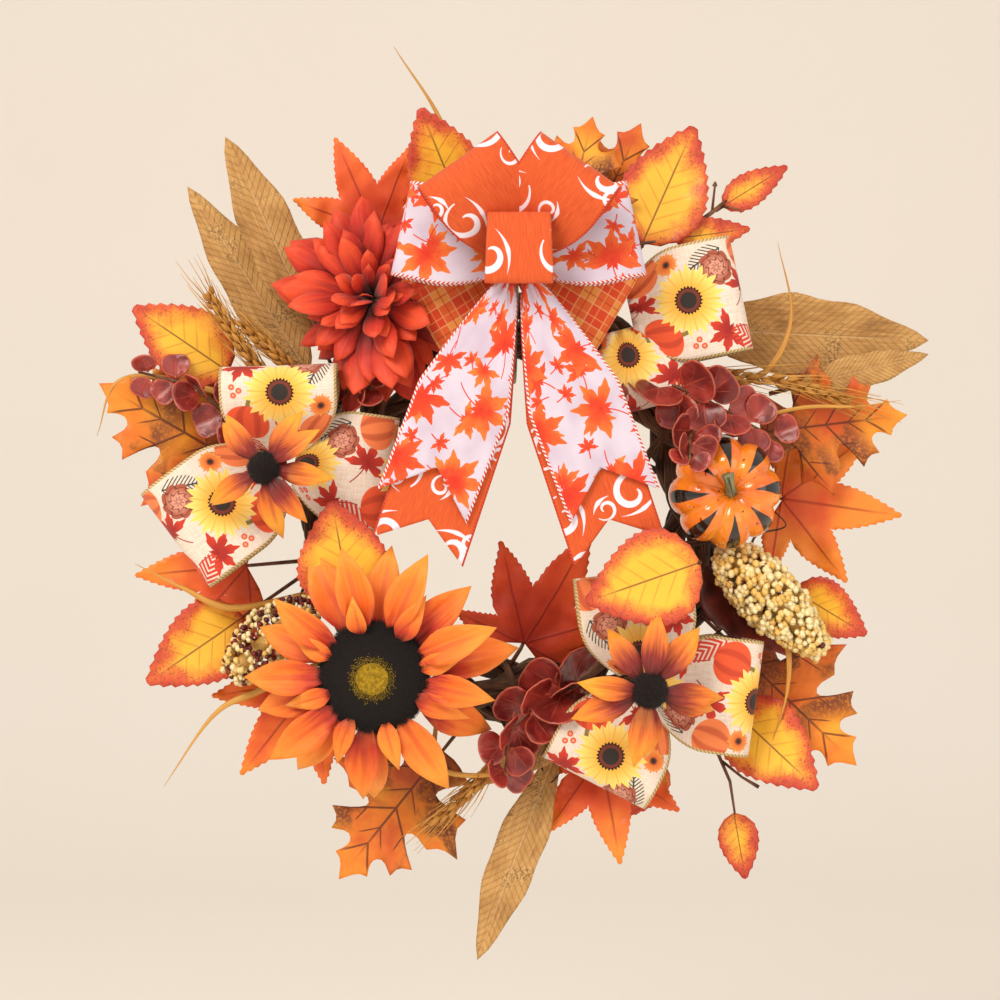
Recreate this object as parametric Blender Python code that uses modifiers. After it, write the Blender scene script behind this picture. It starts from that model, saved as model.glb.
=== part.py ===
"""Harvest door wreath: a twisted grapevine ring with a wire hanger, wired picks of
artificial leaves, flowers, grain and a pumpkin, three clusters of printed ribbon and a bow.

Metres, +Z up. The wreath faces -Y, and +Y is the door side. The origin is the point where
the wire hanger bears on its hook. Places round the ring are given as (clock, out, depth):
clock is degrees anticlockwise from the right, out is the distance outside the ring's
centre line, and depth is the distance in front of the ring's middle plane.
"""

from math import atan2, cos, hypot, log, pi, radians, sin, sqrt

import bmesh
import bpy
from mathutils import Matrix, Vector

# ---- overall sizes ----
RING_RADIUS = 0.100  # centre line of the vine bundle
STRAND_RADIUS = 0.0085  # one vine of the bundle
STRAND_OFFSET = 0.0135  # from the bundle's centre to a strand's centre
STRANDS = 3
STRAND_TWISTS = 4
BINDING_RADIUS = 0.0022  # the thin vine wound round the bundle
BINDING_TURNS = 9
GAP = 0.0003  # between neighbours that touch on the real object
SHEET = 0.0012  # fabric leaves and ribbon
STALK = 0.0030  # width of a leaf's wired stalk
HANGER_WIRE = 0.0011
HANGER_EYE = 0.0080  # inner radius of the eye that goes on the hook
HANGER_BACK = 0.014  # the eye stands this far behind the ring's middle plane
HANGER_SLACK = 0.0012  # between the hanger and the bundle

BUNDLE_RADIUS = STRAND_OFFSET + STRAND_RADIUS
BINDING_OFFSET = BUNDLE_RADIUS + BINDING_RADIUS + GAP
SEAT_RADIUS = BINDING_OFFSET + BINDING_RADIUS + GAP  # where a pick enters the vines
HANGER_RADIUS = SEAT_RADIUS + HANGER_SLACK + HANGER_WIRE
EYE_RADIUS = HANGER_EYE + HANGER_WIRE
EYE_RISE = sqrt((HANGER_RADIUS + EYE_RADIUS) ** 2 - HANGER_BACK**2)
RING_DROP = RING_RADIUS + EYE_RISE + HANGER_EYE
CENTRE = Vector((0.0, -HANGER_BACK, -RING_DROP))

# ---- ribbons ----
BOW_WIDTH = 0.050
CREAM_WIDTH = 0.062
BOW_OUT = 0.034  # the bow's centre is this far outside the ring's centre line
BOW_DEPTH = 0.074
BOW_LAYER = 0.0088  # between the three ribbons where the knot pinches them
KNOT_WIDTH = 0.035
KNOT_HEIGHT = 0.036
KNOT_THICKNESS = 0.006
KNOT_RISE = 0.0330  # the knot's middle stands this far in front of the pinch
TAIL_DROP = 0.0215  # from the knot's middle to the tails' hinge
TAIL_DEPTH = 0.091
TAIL_LAYER = 0.0030  # between the white tail and the orange one behind it

# ---- flowers ----
FLOWER_STEM = 0.0018
MUM_RADIUS = 0.037
MUM_HEIGHT = 0.017
PUMPKIN_RADIUS = 0.0300
PUMPKIN_HEIGHT = 0.0225  # half of it, along the axis
PUMPKIN_RIBS = 9

# ---- colours: base colour, roughness ----
VINE = ((0.10, 0.055, 0.03), 0.85)
WIRE = ((0.35, 0.33, 0.30), 0.4)
ORANGE = ((0.86, 0.25, 0.05), 0.8)
WHITE = ((0.86, 0.80, 0.85), 0.8)
PLAID = ((0.90, 0.33, 0.10), 0.8)
CREAM = ((0.84, 0.74, 0.62), 0.85)
PETAL = ((0.92, 0.35, 0.05), 0.7)
GOLD = ((0.90, 0.48, 0.06), 0.7)
RED = ((0.72, 0.13, 0.04), 0.7)
DARK = ((0.05, 0.02, 0.015), 0.9)
TAN = ((0.58, 0.36, 0.16), 0.8)
STRAW = ((0.70, 0.45, 0.18), 0.8)
BURGUNDY = ((0.32, 0.04, 0.04), 0.4)
PUMPKIN = ((0.90, 0.33, 0.03), 0.3)
GREEN = ((0.28, 0.26, 0.12), 0.7)


# ---- scene and materials ----
def clear_scene():
    for item in list(bpy.data.objects):
        bpy.data.objects.remove(item, do_unlink=True)


def new_collection(name):
    made = bpy.data.collections.new(name)
    bpy.context.scene.collection.children.link(made)
    return made


def material(name, finish):
    colour, roughness = finish
    made = bpy.data.materials.new(name)
    made.use_nodes = True
    shader = made.node_tree.nodes["Principled BSDF"]
    shader.inputs["Base Color"].default_value = (*colour, 1.0)
    shader.inputs["Roughness"].default_value = roughness
    return made


clear_scene()
PARTS = new_collection("harvest_door_wreath")
TOOLS = new_collection("cutters")


def add(name, data, finish, matrix=None):
    made = bpy.data.objects.new(name, data)
    PARTS.objects.link(made)
    made.data.materials.clear()
    made.data.materials.append(material(name, finish))
    if matrix is not None:
        made.matrix_world = matrix
    return made


# ---- places on the ring ----
def radial(clock):
    return Vector((cos(radians(clock)), 0.0, sin(radians(clock))))


def around(clock):
    return Vector((-sin(radians(clock)), 0.0, cos(radians(clock))))


FRONT = Vector((0.0, -1.0, 0.0))


def spot(clock, out, depth):
    return CENTRE + radial(clock) * (RING_RADIUS + out) + FRONT * depth


def ray(clock, psi):
    """Away from the bundle: psi is 0 outward along the wall, 90 towards the viewer."""
    return radial(clock) * cos(radians(psi)) + FRONT * sin(radians(psi))


def basis(origin, along, face):
    """Y runs along a piece, Z is its face, and X is across."""
    y = along.normalized()
    x = y.cross(face).normalized()
    z = x.cross(y)
    made = Matrix((x, y, z)).transposed().to_4x4()
    made.translation = origin
    return made


def pick_basis(clock, psi, heading):
    """A leaf's frame: its stalk enters the bundle at clock and psi, and it heads that many
    degrees anticlockwise of straight outward."""
    out = ray(clock, psi)
    along = out * cos(radians(heading)) + around(clock) * sin(radians(heading))
    face = FRONT * cos(radians(psi)) - radial(clock) * sin(radians(psi))
    seat = CENTRE + radial(clock) * RING_RADIUS + out * SEAT_RADIUS
    return basis(seat, along, face)


# ---- shapes ----
def tube(name, points, radius, finish, cyclic=False, detail=1, radii=None):
    """A round wire or twig through points; radii scales it along its length."""
    curve = bpy.data.curves.new(name, "CURVE")
    curve.dimensions = "3D"
    curve.bevel_depth = radius
    curve.bevel_resolution = detail
    curve.use_fill_caps = not cyclic
    spline = curve.splines.new("POLY")
    spline.points.add(len(points) - 1)
    for place, point in zip(spline.points, points):
        place.co = (*point, 1.0)
    if radii:
        for place, scale in zip(spline.points, radii):
            place.radius = scale
    spline.use_cyclic_u = cyclic
    return add(name, curve, finish)


def plate(name, outlines, thickness, finish, matrix):
    """A flat sheet with the given outline; a second outline inside it is a hole."""
    curve = bpy.data.curves.new(name, "CURVE")
    curve.dimensions = "2D"
    curve.fill_mode = "BOTH"
    curve.extrude = thickness / 2
    for outline in outlines:
        spline = curve.splines.new("POLY")
        spline.points.add(len(outline) - 1)
        for place, (x, y) in zip(spline.points, outline):
            place.co = (x, y, 0.0, 1.0)
        spline.use_cyclic_u = True
    return add(name, curve, finish, matrix)


def turned(name, profile, finish, matrix, steps=16):
    """A turned piece: profile runs from the top of the axis, down the outside, to the foot."""
    mesh = bpy.data.meshes.new(name)
    shape = bmesh.new()
    rim = [shape.verts.new((r, 0.0, z)) for r, z in profile]
    for a, b in zip(rim, rim[1:]):
        shape.edges.new((a, b))
    shape.to_mesh(mesh)
    shape.free()
    made = add(name, mesh, finish, matrix)
    screw = made.modifiers.new("turn", "SCREW")
    screw.steps = steps
    screw.render_steps = steps
    screw.use_merge_vertices = True
    screw.merge_threshold = 0.00001
    return made


def solid_mesh(item):
    """The piece as an ordinary welded mesh, in place of its curve."""
    bpy.context.view_layer.update()
    state = bpy.context.evaluated_depsgraph_get()
    mesh = bpy.data.meshes.new_from_object(item.evaluated_get(state))
    shape = bmesh.new()
    shape.from_mesh(mesh)
    bmesh.ops.remove_doubles(shape, verts=shape.verts, dist=0.00001)
    bmesh.ops.recalc_face_normals(shape, faces=shape.faces)
    shape.to_mesh(mesh)
    shape.free()
    name, place = item.name, item.matrix_world.copy()
    look = item.data.materials[0]
    bpy.data.objects.remove(item, do_unlink=True)
    made = bpy.data.objects.new(name, mesh)
    made.data.materials.clear()
    made.data.materials.append(look)
    made.matrix_world = place
    PARTS.objects.link(made)
    return made


def join(body, pieces):
    """One spray: the pieces are united with the body."""
    body = solid_mesh(body)
    for number, piece in enumerate(pieces):
        piece = solid_mesh(piece)
        PARTS.objects.unlink(piece)
        TOOLS.objects.link(piece)
        piece.hide_render = True
        piece.display_type = "WIRE"
        union = body.modifiers.new(f"join_{number}", "BOOLEAN")
        union.operation = "UNION"
        union.object = piece
    return body


# ---- outlines, with the stalk's foot at the origin and the leaf along +Y ----
def mirrored(side):
    """A closed outline from its right-hand side, given from foot to tip."""
    return side + [(-x, y) for x, y in reversed(side) if x > 0]


def stalk_side(stalk):
    return [(STALK / 2, 0.0), (STALK / 2, stalk)] if stalk > 0 else []


def blade_outline(stalk, length, width, fullest=0.4, steps=6):
    """A plain leaf: pointed, and widest at the fullest share of its length."""
    side = stalk_side(stalk)
    skew = log(0.5) / log(fullest)
    for k in range(1, steps):
        t = k / steps
        side.append((max(width / 2 * sin(pi * t ** skew), STALK / 2), stalk + length * t))
    side.append((0.0, stalk + length))
    return mirrored(side)


def oak_outline(stalk, length, width):
    """A broad lobed leaf: three pairs of lobes and a pointed end."""
    lobes = [(0.10, 0.04), (0.62, 0.06), (0.30, 0.24), (0.98, 0.44), (0.40, 0.52), (0.66, 0.76), (0.26, 0.78)]
    side = stalk_side(stalk)
    side += [(width / 2 * x, stalk + length * y) for x, y in lobes]
    side.append((0.0, stalk + length))
    return mirrored(side)


def palmate_outline(stalk, length, spread=42.0):
    """A five-fingered leaf: the fingers fan out from the top of the stalk."""
    reaches = {0: 1.0, 1: 0.88, 2: 0.62}
    side = stalk_side(stalk)
    for finger in (2, 1, 0):
        reach, angle = reaches[finger] * length, finger * spread
        if finger < 2:
            side.append(polar(0.26 * length, angle + spread / 2, stalk))
        side.append(polar(0.52 * reach, angle + 13, stalk))
        side.append(polar(reach, angle, stalk))
        if finger:
            side.append(polar(0.52 * reach, angle - 13, stalk))
    side[-1] = (0.0, stalk + length)
    return mirrored(side)


def polar(reach, angle, stalk):
    return (reach * sin(radians(angle)), stalk + reach * cos(radians(angle)))


def beaded_outline(stalk, length, radius, beads, steps=4):
    """Round leaves threaded along a twig."""
    side = stalk_side(stalk)
    for bead in range(beads):
        for k in range(1, steps + 1):
            t = (bead + k / steps) / beads
            swell = radius * sin(pi * k / steps) ** 0.6 * (1 - 0.45 * t)
            side.append((max(swell, STALK / 2), stalk + length * t))
    side[-1] = (0.0, side[-1][1])
    return mirrored(side)


def star_outline(petals, reach, root, waist=0.55):
    """A ring of pointed petals."""
    outline = []
    for k in range(petals):
        turn = 2 * pi * k / petals
        half = pi / petals
        for r, a in ((root, -1.0), (waist * reach + (1 - waist) * root, -0.55), (reach, 0.0),
                     (waist * reach + (1 - waist) * root, 0.55)):
            outline.append((r * cos(turn + a * half), r * sin(turn + a * half)))
    return outline


def circle_outline(radius, steps=12):
    return [(radius * cos(2 * pi * k / steps), radius * sin(2 * pi * k / steps)) for k in range(steps)]


# ---- the vine ring and its hanger ----
def bundle_point(turn, phase, offset):
    """A point of a vine that winds round the bundle."""
    out = Vector((cos(turn), 0.0, sin(turn)))
    return CENTRE + out * (RING_RADIUS + offset * cos(phase)) + FRONT * offset * sin(phase)


def vine_ring():
    steps = 40
    for strand in range(STRANDS):
        points = []
        for k in range(steps):
            turn = 2 * pi * k / steps
            points.append(bundle_point(turn, STRAND_TWISTS * turn + 2 * pi * strand / STRANDS, STRAND_OFFSET))
        tube(f"vine_strand_{strand + 1}", points, STRAND_RADIUS, VINE, cyclic=True, detail=2)
    steps = BINDING_TURNS * 10
    points = []
    for k in range(steps):
        turn = 2 * pi * k / steps
        points.append(bundle_point(turn, -BINDING_TURNS * turn, BINDING_OFFSET / cos(pi / 10) ** 0.5))
    tube("binding_vine", points, BINDING_RADIUS, VINE, cyclic=True)


def hanger():
    """One length of wire: once round the bundle, then once round the eye."""
    middle = CENTRE + Vector((0.0, 0.0, RING_RADIUS))
    lean = atan2(EYE_RISE, HANGER_BACK)
    up = Vector((0.0, cos(lean), sin(lean)))
    side = Vector((0.0, sin(lean), -cos(lean)))
    shift = 3 * HANGER_WIRE
    points = []
    for k in range(25):
        turn = radians(352) * k / 24 + radians(4)
        drift = shift * (k / 24 - 1)
        points.append(middle + (up * cos(turn) + side * sin(turn)) * HANGER_RADIUS + Vector((drift, 0, 0)))
    eye = middle + up * (HANGER_RADIUS + EYE_RADIUS)
    for k in range(1, 14):
        turn = radians(180) - radians(318) * k / 14 - radians(14)
        points.append(eye + (up * cos(turn) - side * sin(turn)) * EYE_RADIUS)
    tube("hanger_loop", points, HANGER_WIRE, WIRE)


# ---- ribbon ----
def heading_vector(angle):
    return Vector((cos(radians(angle)), 0.0, sin(radians(angle))))


def loop_run(pinch, heading, length, height, tilt, width, steps=12, start=0.0):
    """Points and half-width vectors round one ribbon loop, from the pinch out along the
    front, round the end and back behind."""
    out = heading_vector(heading)
    across = Vector((-out.z, 0.0, out.x))
    lean = radians(tilt)
    run = []
    for k in range(steps + 1):
        a = k / steps
        s = start + (length - start) * sin(pi * a)
        h = height * sin(2 * pi * a) + 1.5 * SHEET * cos(pi * a)
        place = pinch + out * (s * cos(lean) - h * sin(lean)) + FRONT * (s * sin(lean) + h * cos(lean))
        half = min(width / 2, 0.0065 + 0.52 * (s - start))
        run.append((place, across * half))
    return run


def band(name, run, finish, closed=False):
    """A strip of ribbon through the run's points, made solid."""
    mesh = bpy.data.meshes.new(name)
    shape = bmesh.new()
    rows = [[shape.verts.new(p - w), shape.verts.new(p + w)] for p, w in run]
    pairs = list(zip(rows, rows[1:] + rows[:1] if closed else rows[1:]))
    for (a, b), (c, d) in pairs:
        shape.faces.new((a, b, d, c))
    shape.to_mesh(mesh)
    shape.free()
    made = add(name, mesh, finish)
    made.data.update()
    wall = made.modifiers.new("cloth", "SOLIDIFY")
    wall.thickness = SHEET
    wall.offset = 0.0
    return made


def bow_pair(name, left, right, length, height, tilt, level, finish):
    """One ribbon of the bow: a loop to each side of the pinch."""
    pinch = spot(90, BOW_OUT, BOW_DEPTH + level)
    run = loop_run(pinch, left, length, height, tilt, BOW_WIDTH, start=0.004)
    run = [(p, w if w.z > 0 else -w) for p, w in run]
    other = loop_run(pinch, right, length, height, tilt, BOW_WIDTH, start=0.004)
    other = [(p, w if w.z > 0 else -w) for p, w in reversed(other)]
    band(name, run + other, finish, closed=True)


def tail_outline(length, notch, slope):
    """A tail from the knot: it widens to the ribbon's width and ends in a V."""
    full = (BOW_WIDTH / 2 - 0.006) / slope
    side = [(0.006, 0.0), (BOW_WIDTH / 2, full), (BOW_WIDTH / 2, length)]
    return side + [(0.0, length - notch)] + [(-x, y) for x, y in reversed(side)]


def tail(name, side, spread, length, notch, slope, level, finish):
    hinge = spot(90, BOW_OUT, TAIL_DEPTH - level) - Vector((0, 0, TAIL_DROP))
    hinge.x = side * 0.0078
    down = Vector((side * sin(radians(spread)), 0.06, -cos(radians(spread))))
    plate(name, [tail_outline(length, notch, slope)], SHEET, finish, basis(hinge, down, FRONT))


def bow():
    bow_pair("bow_orange_loops", 125, 55, 0.060, 0.0085, 26, BOW_LAYER, ORANGE)
    bow_pair("bow_maple_loops", 168, 12, 0.063, 0.0068, 6, 0.0, WHITE)
    bow_pair("bow_plaid_loops", 210, -30, 0.061, 0.0056, -7, -BOW_LAYER, PLAID)
    front = spot(90, BOW_OUT, BOW_DEPTH + KNOT_RISE)
    bpy.ops.mesh.primitive_cube_add(size=1.0, location=front)
    cube = bpy.context.object
    mesh = cube.data.copy()
    mesh.transform(Matrix.Diagonal((KNOT_WIDTH, KNOT_THICKNESS, KNOT_HEIGHT, 1.0)))
    bpy.data.objects.remove(cube, do_unlink=True)
    knot = add("bow_knot", mesh, ORANGE, Matrix.Translation(front))
    edge = knot.modifiers.new("rounded", "BEVEL")
    edge.width = 0.0022
    edge.segments = 2
    for side, word in ((-1, "left"), (1, "right")):
        tail(f"tail_{word}_maple", side, 21, 0.119, 0.022, 0.33, 0.0, WHITE)
        tail(f"tail_{word}_orange", side, 18.5, 0.142, 0.018, 0.30, TAIL_LAYER, ORANGE)
    back = spot(90, BOW_OUT, BOW_DEPTH - 3 * BOW_LAYER)
    anchor = spot(90, 0.0, 0.0)
    reach = (anchor - back).normalized()
    foot = anchor - reach * (SEAT_RADIUS + GAP)
    shift = Vector((0.007, 0, 0))
    tube("bow_tie_wire", [back + shift, foot + shift], 0.0009, WIRE)


def cream_loops():
    """The printed ribbon: each cluster is loops that fan out from where it is wired on."""
    clusters = (
        ("left", (168, 0.028, 0.046), ((92, 0.052, 18), (217, 0.072, 4), (-8, 0.058, -2))),
        ("low", (-54, 0.014, 0.052), ((97, 0.060, 6), (-8, 0.060, 2), (-117, 0.060, -4))),
        ("high", (62, 0.016, 0.046), ((12, 0.066, 4),)),
    )
    for word, place, loops in clusters:
        pinch = spot(*place)
        for number, (heading, length, tilt) in enumerate(loops, 1):
            run = loop_run(pinch, heading, length, 0.011, tilt, CREAM_WIDTH, start=0.008)
            band(f"cream_{word}_loop_{number}", run, CREAM)


# ---- flowers and the pumpkin ----
def head_basis(clock, out, depth, face):
    axis = ray(clock, face)
    return basis(spot(clock, out, depth), axis.cross(around(clock)), axis)


def stem_length(out, depth, face):
    """From a head straight back to the vines."""
    along = out * cos(radians(face)) + depth * sin(radians(face))
    aside = out * sin(radians(face)) - depth * cos(radians(face))
    return along - sqrt(SEAT_RADIUS**2 - aside**2)


def dome(radius, height, foot, steps=5):
    """A dome's profile from its top to its rim."""
    return [(radius * sin(pi / 2 * k / steps), foot + height * cos(pi / 2 * k / steps)) for k in range(steps + 1)]


def flower(name, petals, reach, place, finish, radius, height, cup=0.006):
    """A ring of petals, and the flower's centre, whose stem goes back through the petals,
    past the green cup behind them, to the vines."""
    outline = star_outline(petals, reach, 0.30 * reach)
    hole = circle_outline(FLOWER_STEM + 2 * GAP)
    plate(f"{name}_petals", [outline, hole], SHEET, finish, head_basis(*place))
    face = SHEET / 2 + GAP
    profile = dome(radius, height, face)
    profile += [(FLOWER_STEM, face), (FLOWER_STEM, -face), (cup, -face), (0.4 * cup, -face - cup)]
    profile += [(FLOWER_STEM, -face - 1.2 * cup), (FLOWER_STEM, -stem_length(*place[1:]))]
    profile.append((0.0, profile[-1][1]))
    turned(f"{name}_centre", profile, DARK, head_basis(*place))


def flowers():
    flower("sunflower", 16, 0.066, (-131, 0.015, 0.074, 82), PETAL, 0.0275, 0.009, cup=0.018)
    flower("coneflower_left", 8, 0.029, (170.6, 0.034, 0.078, 80), GOLD, 0.0075, 0.010)
    flower("coneflower_low", 8, 0.033, (-54, 0.015, 0.086, 86), GOLD, 0.009, 0.011)
    mum = (129, 0.045, 0.040, 66)
    ball = [(MUM_RADIUS * sin(pi * k / 10), MUM_HEIGHT * cos(pi * k / 10)) for k in range(10)]
    foot = -stem_length(*mum[1:])
    stem = [(FLOWER_STEM, -MUM_HEIGHT), (FLOWER_STEM, foot), (0.0, foot)]
    turned("chrysanthemum", ball + stem, RED, head_basis(*mum))


def pumpkin():
    """A ribbed pumpkin on a wired pick, its top to the viewer."""
    place = (5, 0.010, 0.058, 84)
    dimple, segments, rings = 0.35, 4 * PUMPKIN_RIBS, 10
    mesh = bpy.data.meshes.new("pumpkin_body")
    shape = bmesh.new()
    bmesh.ops.create_uvsphere(shape, u_segments=segments, v_segments=rings, radius=1.0)
    for vert in shape.verts:
        flat = hypot(vert.co.x, vert.co.y)
        rib = abs(sin(PUMPKIN_RIBS / 2 * atan2(vert.co.y, vert.co.x)))
        swell = PUMPKIN_RADIUS * (0.94 + 0.06 * rib)
        rise = PUMPKIN_HEIGHT * vert.co.z * (1 - dimple * max(0.0, 1 - flat / 0.55))
        vert.co = (vert.co.x * swell, vert.co.y * swell, rise)
    shape.to_mesh(mesh)
    shape.free()
    frame = head_basis(*place)
    body = add("pumpkin_body", mesh, PUMPKIN, frame)
    top = PUMPKIN_HEIGHT * (1 - dimple)
    wire = [Vector((0, 0, -top + 0.004)), Vector((0, 0, -stem_length(*place[1:])))]
    join(body, [tube("pumpkin_wire", [frame @ p for p in wire], 0.0012, WIRE)])
    root = top + 0.0035
    bends = [Vector((0.0, 0.0, root)), Vector((0.001, 0.001, root + 0.003)),
             Vector((0.004, 0.002, root + 0.006)), Vector((0.008, 0.003, root + 0.008))]
    tube("pumpkin_stalk", [frame @ p for p in bends], 0.004, GREEN, detail=2, radii=(1.0, 0.6, 0.5, 0.6))


# ---- leaves, grain and grass ----
def leaf(name, outline, clock, psi, heading, finish):
    plate(name, [outline], SHEET, finish, pick_basis(clock, psi, heading))


def spray(name, stem, plates, finish, radius=0.0014):
    """Leaves that stand parallel to the wall on one wired stem. stem and each leaf's foot
    are places on the ring, and a leaf aims that many degrees anticlockwise of the right."""
    stem_tube = tube(name, [spot(*place) for place in stem], radius, finish)
    pieces = []
    for number, (foot, aim, outline) in enumerate(plates):
        frame = basis(spot(*foot), heading_vector(aim), FRONT)
        pieces.append(plate(f"{name}_{number}", [outline], SHEET, finish, frame))
    join(stem_tube, pieces)


def seat(clock, psi):
    """Where a stem meets the vines, as a place on the ring."""
    return (clock, SEAT_RADIUS * cos(radians(psi)), SEAT_RADIUS * sin(radians(psi)))


def leaves():
    leaf("oak_leaf_left", oak_outline(0.024, 0.096, 0.084), 176, 16, -26, GOLD)
    leaf("oak_leaf_top", oak_outline(0.018, 0.080, 0.080), 78, 10, -13, GOLD)
    leaf("oak_leaf_right", oak_outline(0.016, 0.080, 0.084), 19, 20, -12, GOLD)
    leaf("oak_leaf_bottom", oak_outline(0.014, 0.090, 0.084), -105, 12, -24, GOLD)
    leaf("oak_leaf_low", oak_outline(0.018, 0.090, 0.080), -31, 14, -13, GOLD)
    leaf("maple_leaf_top", palmate_outline(0.046, 0.056), 118, 16, -4, RED)
    leaf("maple_leaf_right", palmate_outline(0.020, 0.066), 4, 10, -12, RED)
    leaf("maple_leaf_left", palmate_outline(0.026, 0.062), -167, 6, -8, RED)
    leaf("maple_leaf_low", palmate_outline(0.022, 0.064), -142, 14, 14, RED)
    leaf("maple_leaf_bottom", palmate_outline(0.018, 0.060), -70, 18, -10, RED)
    leaf("maple_leaf_inner", palmate_outline(0.006, 0.058), -62, 158, -6, RED)
    leaf("birch_leaf_top", blade_outline(0.045, 0.062, 0.042), 96, 26, 16, GOLD)
    leaf("birch_leaf_upper_left", blade_outline(0.052, 0.062, 0.040), 158, 17, -12, GOLD)
    leaf("birch_leaf_lower_left", blade_outline(0.040, 0.064, 0.044), -163, 24, 17, GOLD)
    leaf("birch_leaf_low", blade_outline(0.038, 0.064, 0.044), -43, 26, 0, GOLD)
    leaf("birch_leaf_right", blade_outline(0.036, 0.046, 0.036), -12, 22, -19, GOLD)
    leaf("tan_leaf_top_1", blade_outline(0.012, 0.122, 0.026, 0.5), 149, 8, -26, TAN)
    leaf("tan_leaf_top_2", blade_outline(0.014, 0.127, 0.026, 0.5), 143, 14, -28, TAN)
    leaf("tan_leaf_right", blade_outline(0.028, 0.122, 0.036, 0.5), 53, 10, -56, TAN)
    leaf("tan_leaf_bottom", blade_outline(0.012, 0.122, 0.028, 0.5), -78, 26, -32, TAN)
    leaf("eucalyptus_left", beaded_outline(0.030, 0.076, 0.013, 4), 166, 34, -12, BURGUNDY)
    leaf("grass_top", blade_outline(0.044, 0.092, 0.005, 0.3), 104, 20, 1, TAN)


def sprays():
    birch = blade_outline(0.010, 0.062, 0.042)
    small = blade_outline(0.004, 0.040, 0.016)
    spray("birch_spray_high",
          [seat(66, 30), (65, 0.060, 0.026), (60, 0.070, 0.026), (56, 0.102, 0.026)],
          [((65, 0.060, 0.026), 66, birch), ((56, 0.099, 0.026), 32, small),
           ((60, 0.070, 0.026), 8, small)], GOLD)
    spray("birch_leaf_over_left", [seat(-148, 84), (-150, 0.002, 0.064)],
          [((-150, 0.002, 0.0635), 100, blade_outline(0.002, 0.053, 0.052))], GOLD)
    spray("birch_leaf_over_low", [seat(-16, 95), (-16, -0.002, 0.083)],
          [((-16, -0.002, 0.0825), 199, blade_outline(0.002, 0.062, 0.050))], GOLD)
    spray("eucalyptus_right", [seat(42, 85), (40, 0.002, 0.051)],
          [((40, 0.002, 0.0505), -24, beaded_outline(0.002, 0.072, 0.013, 4))], BURGUNDY)
    spray("eucalyptus_bottom", [seat(-73, 100), (-73, 0.0, 0.046)],
          [((-73, 0.0, 0.0455), -133, beaded_outline(0.002, 0.070, 0.014, 4))], BURGUNDY)


def grain():
    ear = (0.2, 0.25, 0.9, 1.0, 0.9, 0.35, 0.12, 0.1)
    right = [seat(44, 65), (41, 0.016, 0.035), (34, 0.026, 0.034), (30, 0.042, 0.034),
             (27, 0.062, 0.036), (25, 0.070, 0.038), (20, 0.090, 0.042), (16, 0.113, 0.046)]
    tube("wheat_right", [spot(*p) for p in right], 0.0085, STRAW, radii=ear)
    left = [seat(155, 35), (154, 0.040, 0.028), (152, 0.056, 0.032), (150, 0.072, 0.036),
            (148, 0.090, 0.040), (146, 0.108, 0.044)]
    tube("wheat_left", [spot(*p) for p in left], 0.0085, STRAW, radii=(0.2, 0.3, 0.9, 1.0, 0.8, 0.2))
    head = [seat(-12, 70), (-14, 0.018, 0.040), (-17, 0.030, 0.044), (-21, 0.050, 0.046),
            (-24, 0.070, 0.046), (-25, 0.082, 0.046)]
    tube("sorghum_right", [spot(*p) for p in head], 0.0150, STRAW, detail=2, radii=(0.12, 0.5, 1.0, 1.0, 0.75, 0.2))


def main():
    vine_ring()
    hanger()
    bow()
    cream_loops()
    flowers()
    pumpkin()
    leaves()
    sprays()
    grain()


main()
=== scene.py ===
"""The looks of a harvest door wreath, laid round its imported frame.

Metres, +Z up. The wreath faces -Y and hangs by the wire eye at the origin. The sections follow
the wreath as it is made: vines, wire, leaves, grain, flowers, pumpkin, ribbon, bow and tails.
"""

import random
from math import cos, hypot, pi, radians, sin, sqrt

import bpy
import numpy as np
from mathutils import Matrix, Vector, noise
from mathutils.geometry import delaunay_2d_cdt


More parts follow.
